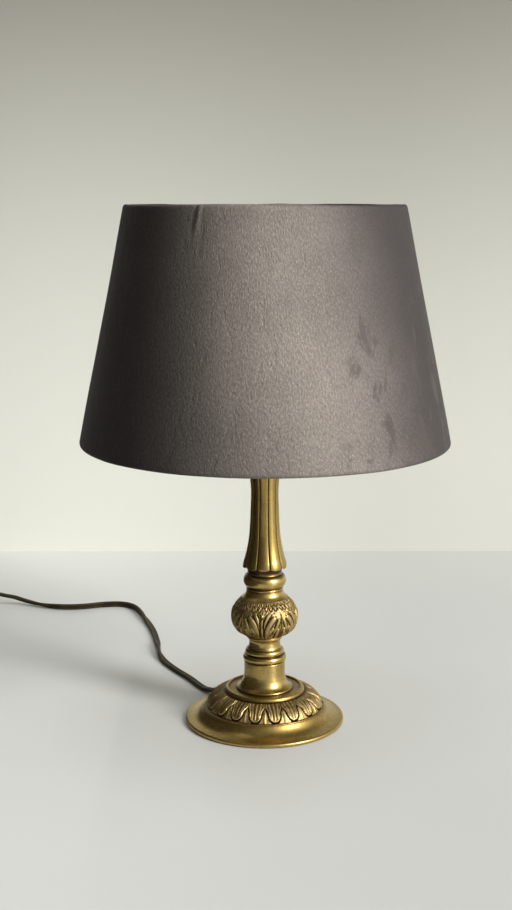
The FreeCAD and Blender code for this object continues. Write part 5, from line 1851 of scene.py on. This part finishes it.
@dataclass
class Strap:
    """Woven strap round one side of the coil: from the front a rectangle with round corners.

    Attributes:
        coil_middle: middle of the coil on the table.
        inner: distance from it to the strap's side in the coil's eye.
        outer: distance from it to the strap's outer side.
        low: level of the lower run.
        high: level of the upper run.
        corner: radius of the corners.
        thick: thickness of the strap.
        width: width of the strap.
        selvedge: how far its woven edges bulge.
        corner_steps: facets of each corner.
    """

    coil_middle: Point
    inner: float = 19.35
    outer: float = 39.3
    low: float = 0.25
    high: float = 12.1
    corner: float = 2.4
    thick: float = 0.5
    width: float = 9.0
    selvedge: float = 0.12
    corner_steps: int = 6

    def section(self) -> list[Point]:
        """Outline of the strap, flat with a slight edge."""
        half, skin, edge = self.width / 2, self.thick / 2, self.width / 2 + self.selvedge
        return [(half, -skin), (edge, 0.0), (half, skin), (-half, skin), (-edge, 0.0), (-half, -skin)]

    def build(self) -> bpy.types.Object:
        """Makes the strap.

        Returns:
            The piece, without a finish.
        """
        middle_x, middle_y = self.coil_middle
        left, right = middle_x + self.inner, middle_x + self.outer
        corners = ((right, self.high), (left, self.high), (left, self.low), (right, self.low))
        frames = []
        for index, (x, z) in enumerate(corners):
            centre_x = x + (self.corner if x == left else -self.corner)
            centre_z = z + (self.corner if z == self.low else -self.corner)
            for step in range(self.corner_steps + 1):
                angle = math.radians(90 * index + 90 * step / self.corner_steps)
                out = Vector((math.cos(angle), 0, math.sin(angle)))
                place = Vector((centre_x, middle_y, centre_z)) + out * self.corner
                frames.append(axes_at(Vector((0, 1, 0)), out, Vector((-out.z, 0, out.x)), place))
        return sweep("woven_tie", self.section(), frames, closed=True, sharp=60)


@dataclass
class Cord:
    """The flat twin cord with its in-line switch, tie and plug.

    Attributes:
        width: width of the flat cord.
        core: radius of each of its two cores.
        core_arc: half of the arc that each core shows, in degrees.
        core_steps: facets of that arc.
        coil_middle: middle of the coil on the table.
        coil_radius: mean radius of the coil.
        coil_pitch: distance between neighbouring turns.
        coil_level: level of the lower layer's middle.
        turns_in: turns on the lower layer.
        turns_out: turns on the upper layer.
        climb: part of a turn in which the cord climbs.
        per_turn: control points of each turn.
        coil_tilt: how far the coiled cord leans over on average.
        coil_swing: how much it leans to and fro about that.
        sway: distance in which it leans over and back.
        stand_tilt: how far the cord to the switch leans where it stands on edge.
        stands: distances at which that cord rises, is up, sinks and lies.
        lean_span: distances from an end at which the cord starts to lean, and may lean fully.
        rest_span: distances from an end at which it starts to sink to its footing, and rests on it.
    """

    width: float = 5.2
    core: float = 1.42
    core_arc: float = 118.0
    core_steps: int = 8
    coil_middle: Point = (-295.0, 200.0)
    coil_radius: float = 31.0
    coil_pitch: float = 5.75
    coil_level: float = 3.3
    turns_in: float = 3.0
    turns_out: float = 2.5
    climb: float = 0.5
    per_turn: int = 16
    coil_tilt: float = 60.0
    coil_swing: float = 38.0
    sway: float = 118.0
    stand_tilt: float = 84.0
    stands: tuple[tuple[float, float, float, float], ...] = ((84, 108, 112, 134), (172, 214, 290, 335))
    lean_span: Point = (4.0, 40.0)
    rest_span: Point = (3.0, 14.0)

    def coil_point(self, turn: float) -> tuple[float, float, float]:
        """Finds the middle of the cord in the coil.

        Args:
            turn: number of turns into the coil.

        Returns:
            The place.
        """
        outer = self.coil_radius + self.coil_pitch * self.turns_in / 2
        rise = smooth(0.0, self.climb, turn - self.turns_in)
        reverse = self.turns_in + self.climb / 2
        radius = outer - self.coil_pitch * (reverse - abs(turn - reverse))
        angle = math.pi + 2 * math.pi * turn
        return (
            self.coil_middle[0] + radius * math.cos(angle),
            self.coil_middle[1] + radius * math.sin(angle),
            self.coil_level + self.coil_pitch * rise,
        )

    def coil(self) -> list[tuple[float, float, float]]:
        """Control points of the coil."""
        turns = self.turns_in + self.climb + self.turns_out
        return [self.coil_point(i / self.per_turn) for i in range(int(turns * self.per_turn) + 1)]

    def centre_line(self, route: Sequence[tuple[float, float, float]]) -> list[Vector]:
        """Draws a smooth spline along a route.

        Args:
            route: the spline's control points.

        Returns:
            Its points, in millimetres as the route's.
        """
        curve = bpy.data.curves.new("cord_route", "CURVE")
        curve.dimensions = "3D"
        curve.resolution_u = 10
        spline = curve.splines.new("NURBS")
        spline.points.add(len(route) - 1)
        for point, (x, y, z) in zip(spline.points, route):
            point.co = (x, y, z, 1.0)
        spline.order_u = 3
        spline.use_endpoint_u = True
        guide = bpy.data.objects.new("cord_route", curve)
        bpy.context.scene.collection.objects.link(guide)
        bpy.context.view_layer.update()
        mesh = bpy.data.meshes.new_from_object(guide)
        line = [vert.co.copy() for vert in mesh.vertices]
        bpy.data.objects.remove(guide)
        bpy.data.curves.remove(curve)
        bpy.data.meshes.remove(mesh)
        return line

    def section(self) -> list[Point]:
        """Draws the outline of the two cores side by side.

        Returns:
            The outline's points.
        """
        offset = self.width / 2 - self.core
        points = []
        for side in (1, -1):
            for step in range(self.core_steps + 1):
                angle = math.radians(-self.core_arc + 2 * self.core_arc * step / self.core_steps)
                across = offset + self.core * math.cos(angle)
                points.append((side * across, side * self.core * math.sin(angle)))
        return points

    def tilt(self, way: float, lay: Lay) -> float:
        """Finds how far the flat cord is turned on edge.

        Args:
            way: distance along the cord.
            lay: how this length lies.

        Returns:
            The angle in degrees.
        """
        if lay is Lay.COILED:
            return self.coil_tilt + self.coil_swing * math.sin(2 * math.pi * way / self.sway)
        return self.stand_tilt * max(
            smooth(rise, up, way) * (1 - smooth(sink, down, way)) for rise, up, sink, down in self.stands
        )

    def frames(self, line: Sequence[Vector], lay: Lay) -> list[Matrix]:
        """Sets a frame for each ring: the cord lies flat at its ends and leans over in between.

        Args:
            line: points of its middle line.
            lay: how this length lies.

        Returns:
            The frames, all on the same footing.
        """
        ways = [0.0]
        for one, two in zip(line, line[1:]):
            ways.append(ways[-1] + (two - one).length)
        flat_drop = self.width / 2 - self.core
        frames = []
        for index, (here, way) in enumerate(zip(line, ways)):
            left = ways[-1] - way
            ahead = (line[min(index + 1, len(line) - 1)] - line[max(index - 1, 0)]).normalized()
            upward = (Vector((0, 0, 1)) - ahead * ahead.z).normalized()
            side = upward.cross(ahead)
            ends = smooth(*self.lean_span, way) * smooth(*self.lean_span, left)
            tilt = math.radians(self.tilt(way, lay)) * ends
            first = side * math.cos(tilt) + upward * math.sin(tilt)
            second = upward * math.cos(tilt) - side * math.sin(tilt)
            drop = flat_drop * (1 - abs(math.sin(tilt)))
            drop *= smooth(*self.rest_span, way)
            drop *= smooth(*self.rest_span, left)
            frames.append(axes_at(first, second, ahead, here - Vector((0, 0, drop))))
        return frames

    def flex(
        self, name: str, route: Sequence, replaced: Sequence[str], far_end: FarEnd, lay: Lay,
        fitted: Sequence[bpy.types.Object],
    ) -> None:
        """Makes one length of the cord.

        Args:
            name: the piece's name.
            route: control points of its middle line.
            replaced: nodes that it replaces.
            far_end: what it ends in; not used.
            lay: how it lies.
            fitted: the pieces at its far end; not used.
        """
        frames = self.frames(self.centre_line(route), lay)
        flex = set_up(sweep(name, self.section(), frames), Body.LAMP, SHEATH, replaced)

    def build(self, frame: dict) -> None:
        """Makes and dresses each piece.

        Args:
            frame: the loaded frame.
        """
        dress_nodes(frame, {
            "switch_base": PLASTIC, "switch_cover": PLASTIC, "switch_rocker": PLASTIC,
            "switch_contacts": CONTACT, "switch_screws": STEEL,
            "plug_body": PLASTIC, "plug_pins": NICKEL, "pin_sleeves": NYLON,
        })
        tie = set_up(Strap(self.coil_middle).build(), Body.LAMP, WEBBING, ("cord_tie",))
        nodes = frame["nodes"]
        self.flex(
            "flex_to_switch", ROUTE_TO_SWITCH, ("cord_to_switch",), FarEnd.FITTING, Lay.LOOSE,
            [nodes[name] for name in SWITCH_NODES],
        )
        self.flex(
            "flex_to_plug", [*ROUTE_TO_COIL, *self.coil(), *ROUTE_TO_PLUG],
            ("cord_to_coil", "cord_coil", "cord_to_plug"), FarEnd.PLUG, Lay.COILED,
            [tie, *(nodes[name] for name in PLUG_NODES)],
        )


# Room, light and camera


@dataclass(frozen=True)
class Paint:
    """Matt paint with faint clouds, with painted light on the lamp's left and painted shade beyond it and
    along one axis; clear from behind.

    Attributes:
        name: the material's name.
        low: the paint's darker tone.
        high: its lighter tone.
        painted_shade_tone: its tone out of the window's reach.
        rough: roughness.
        shade_axis: 0 for X, 1 for Y, 2 for Z: the axis along which the second shade falls.
        shade_span: where that shade starts and ends, in metres.
        left_span: where the shade on the left starts and ends, in metres.
        painted_light_span: where the paint starts to be lighter on the left and is lightest, in metres.
        bright: how many times lighter it is there.
        clouds: scale of the clouds.
    """

    name: str
    low: tuple
    high: tuple
    painted_shade_tone: tuple
    rough: float
    shade_axis: int
    shade_span: Point
    left_span: Point
    painted_light_span: Point = (0.16, -0.24)
    bright: float = 1.30
    clouds: float = 6.0

    def material(self) -> bpy.types.Material:
        """Makes the material.

        Returns:
            The material.
        """
        material = bpy.data.materials.new(self.name)
        material.use_nodes = True
        w = Wiring(material.node_tree)
        place = w.add("TexCoord").outputs["Object"]
        axes = w.axes(place)
        lighter = tuple(min(value * self.bright, 1.0) for value in self.high)
        paint = w.mix(w.speckle(place, self.clouds, 4.0), self.low, self.high)
        # Painted light: the paint is made lighter on the lamp's left.
        paint = w.mix(w.span(axes[0], *self.painted_light_span), paint, lighter)
        # Painted shade: dark far to the left and along one axis, out of the window's reach.
        left = w.span(axes[0], *self.left_span)
        other = w.span(axes[self.shade_axis], *self.shade_span)
        w.feed("Base Color", w.mix(w.maths("MAXIMUM", left, other), paint, self.painted_shade_tone))
        w.feed("Roughness", self.rough)
        clear = w.add("BsdfTransparent").outputs[0]
        back = w.add("NewGeometry").outputs["Backfacing"]
        seen = w.add("MixShader", {0: back, 1: w.shader.outputs[0], 2: clear}).outputs[0]
        w.join(seen, material.node_tree.nodes["Material Output"].inputs["Surface"])
        return material


# Painted shade: a near-black card that the polished metal reflects on the lamp's shaded side.
SHADE_CARD_TONE = rgb(0.026, 0.023, 0.018)
SHADE_CARD_PAINT = Paint(
    "card_paint", low=SHADE_CARD_TONE, high=SHADE_CARD_TONE, painted_shade_tone=SHADE_CARD_TONE, rough=0.9,
    shade_axis=1, shade_span=(-0.7, -2.0), left_span=(-0.34, -0.90),
)
# Table and wall carry painted light on the lamp's left and painted shade beyond; the wall's painted shade
# deepens upwards.
TABLE_PAINT = Paint(
    "table_paint", low=rgb(0.500, 0.514, 0.503), high=rgb(0.525, 0.539, 0.528), painted_shade_tone=rgb(0.08, 0.077, 0.074),
    rough=0.5, shade_axis=1, shade_span=(-0.7, -2.0), left_span=(-0.34, -0.90),
)
WALL_PAINT = Paint(
    "wall_paint", low=rgb(0.540, 0.550, 0.503), high=rgb(0.565, 0.575, 0.526), painted_shade_tone=rgb(0.052, 0.038, 0.022),
    rough=0.9, shade_axis=2, shade_span=(0.06, 0.86), left_span=(-0.27, -0.60),
)


@dataclass(frozen=True)
class AreaLight:
    """A rectangular light aimed at the lamp's middle.

    Attributes:
        name: its name.
        place: its place in metres.
        size: its width and height in metres.
        power: its power in watts.
        colour: its colour.
        mirrored: True if polished metal reflects it.
        aim_level: level that it is aimed at, in metres.
    """

    name: str
    place: tuple[float, float, float]
    size: Point
    power: float
    colour: tuple[float, float, float] = (1.0, 1.0, 1.0)
    mirrored: bool = False
    aim_level: float = 0.16

    def build(self) -> None:
        """Makes the light."""
        light = bpy.data.lights.new(self.name, "AREA")
        light.shape = "RECTANGLE"
        light.size, light.size_y = self.size
        light.energy = self.power
        light.color = self.colour
        stand = bpy.data.objects.new(self.name, light)
        stand.location = self.place
        aim = Vector((0, 0, self.aim_level)) - Vector(self.place)
        stand.rotation_mode = "QUATERNION"
        stand.rotation_quaternion = aim.to_track_quat("-Z", "Y")
        stand.visible_glossy = self.mirrored
        bpy.context.scene.collection.objects.link(stand)


WINDOW = AreaLight("window", (1.875, -1.425, 1.195), (0.60, 1.15), 78.0, (1.0, 0.98, 0.95), mirrored=True)
CEILING = AreaLight("ceiling", (0.3, 0.1, 2.4), (1.8, 1.8), 24.0)


@dataclass
class Studio:
    """Pale table and wall, a window to the front right, and the camera; all in metres.

    Attributes:
        room: length of the table's and the wall's sides.
        table_edge: how far behind the lamp the wall stands.
        card_place: middle of the dark card beside the lamp, which puts painted shade into the metal's
            reflections.
        card_size: length of the card's upright side.
        card_stretch: how many times longer its lying side is.
        window_side: the direction in which the room is lightest.
        focal_length: lens in millimetres.
        sensor: width of the sensor in millimetres.
        eye: place of the camera.
        pitch: how far the camera looks down, in degrees.
    """

    room: float = 5.0
    table_edge: float = 0.46
    card_place: tuple[float, float, float] = (-0.105, 0.0, 0.10)
    card_size: float = 0.19
    card_stretch: float = 1.6
    window_side: tuple[float, float, float] = (0.87, -0.42, 0.25)
    focal_length: float = 53.68
    sensor: float = 36.0
    eye: tuple[float, float, float] = (-0.0060, -0.908, 0.3613)
    pitch: float = 10.74

    def build(self) -> None:
        """Makes the table, the wall, the card, the lights, the world and the camera."""
        half = self.room / 2
        flat = Matrix.Translation((0, self.table_edge - half, 0))
        self.plane("table_top", self.room, TABLE_PAINT, flat)
        upright = Matrix.Translation((0, self.table_edge, half)) @ Matrix.Rotation(math.radians(90), 4, "X")
        self.plane("back_wall", self.room, WALL_PAINT, upright)
        self.card()
        WINDOW.build()
        CEILING.build()
        self.world()
        self.camera()

    def plane(self, name: str, size: float, paint: Paint, place: Matrix) -> bpy.types.Object:
        """Makes a flat stage piece.

        Args:
            name: its name.
            size: length of its sides.
            paint: its paint.
            place: carries it from the table's origin to its place.

        Returns:
            The piece.
        """
        bm = bmesh.new()
        bmesh.ops.create_grid(bm, x_segments=1, y_segments=1, size=size / 2, matrix=place)
        bmesh.ops.scale(bm, vec=(1 / MM,) * 3, verts=bm.verts)
        piece = to_object(bm, name)
        piece.data.materials.append(paint.material())
        return piece

    def card(self) -> None:
        """Painted shade: a dark card beside the lamp on its shaded side; it is seen in the polished metal
        alone, as shade in its reflections.
        """
        place = Matrix.Translation(self.card_place) @ Matrix.Rotation(math.radians(90), 4, "Y")
        stretch = Matrix.Diagonal((1.0, self.card_stretch, 1.0, 1.0))
        card = self.plane("dark_card", self.card_size, SHADE_CARD_PAINT, place @ stretch)
        card.visible_camera = card.visible_diffuse = card.visible_shadow = False
        card.visible_transmission = card.visible_volume_scatter = False

    def world(self) -> None:
        """A room that is light on the window's side and darker on the other."""
        world = bpy.data.worlds.new("studio")
        world.use_nodes = True
        bpy.context.scene.world = world
        w = Wiring(world.node_tree)
        heading = w.add("TexCoord").outputs["Generated"]
        turned = w.add("VectorMath", {0: heading, 1: self.window_side}, operation="DOT_PRODUCT")
        colour = w.ramp(w.maths("MULTIPLY_ADD", turned.outputs["Value"], 0.5, 0.5), (
            (0.0, rgb(0.04, 0.04, 0.04)),
            (0.45, rgb(0.06, 0.06, 0.058)),
            (0.76, rgb(0.29, 0.285, 0.273)),
            (1.0, rgb(1.45, 1.42, 1.35)),
        ))
        w.join(colour, world.node_tree.nodes["Background"].inputs["Color"])

    def camera(self) -> None:
        """The camera at the photograph's viewing angle."""
        data = bpy.data.cameras.new("camera")
        data.lens = self.focal_length
        data.sensor_width = self.sensor
        data.clip_start = 0.02
        camera = bpy.data.objects.new("camera", data)
        camera.location = self.eye
        camera.rotation_euler = (math.radians(90 - self.pitch), 0, 0)
        bpy.context.scene.collection.objects.link(camera)
        bpy.context.scene.camera = camera


def main() -> None:
    """Loads the frame and builds everything round it."""
    logging.basicConfig(level=logging.INFO, format="%(name)s: %(message)s")
    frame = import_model()
    bpy.context.scene.view_settings.view_transform = "Standard"
    Studio().build()
    Cord().build(frame)
    Candlestick().build(frame)
    Lampholder().build(frame)
    Shade().build(frame)


if __name__ == "__main__":
    main()
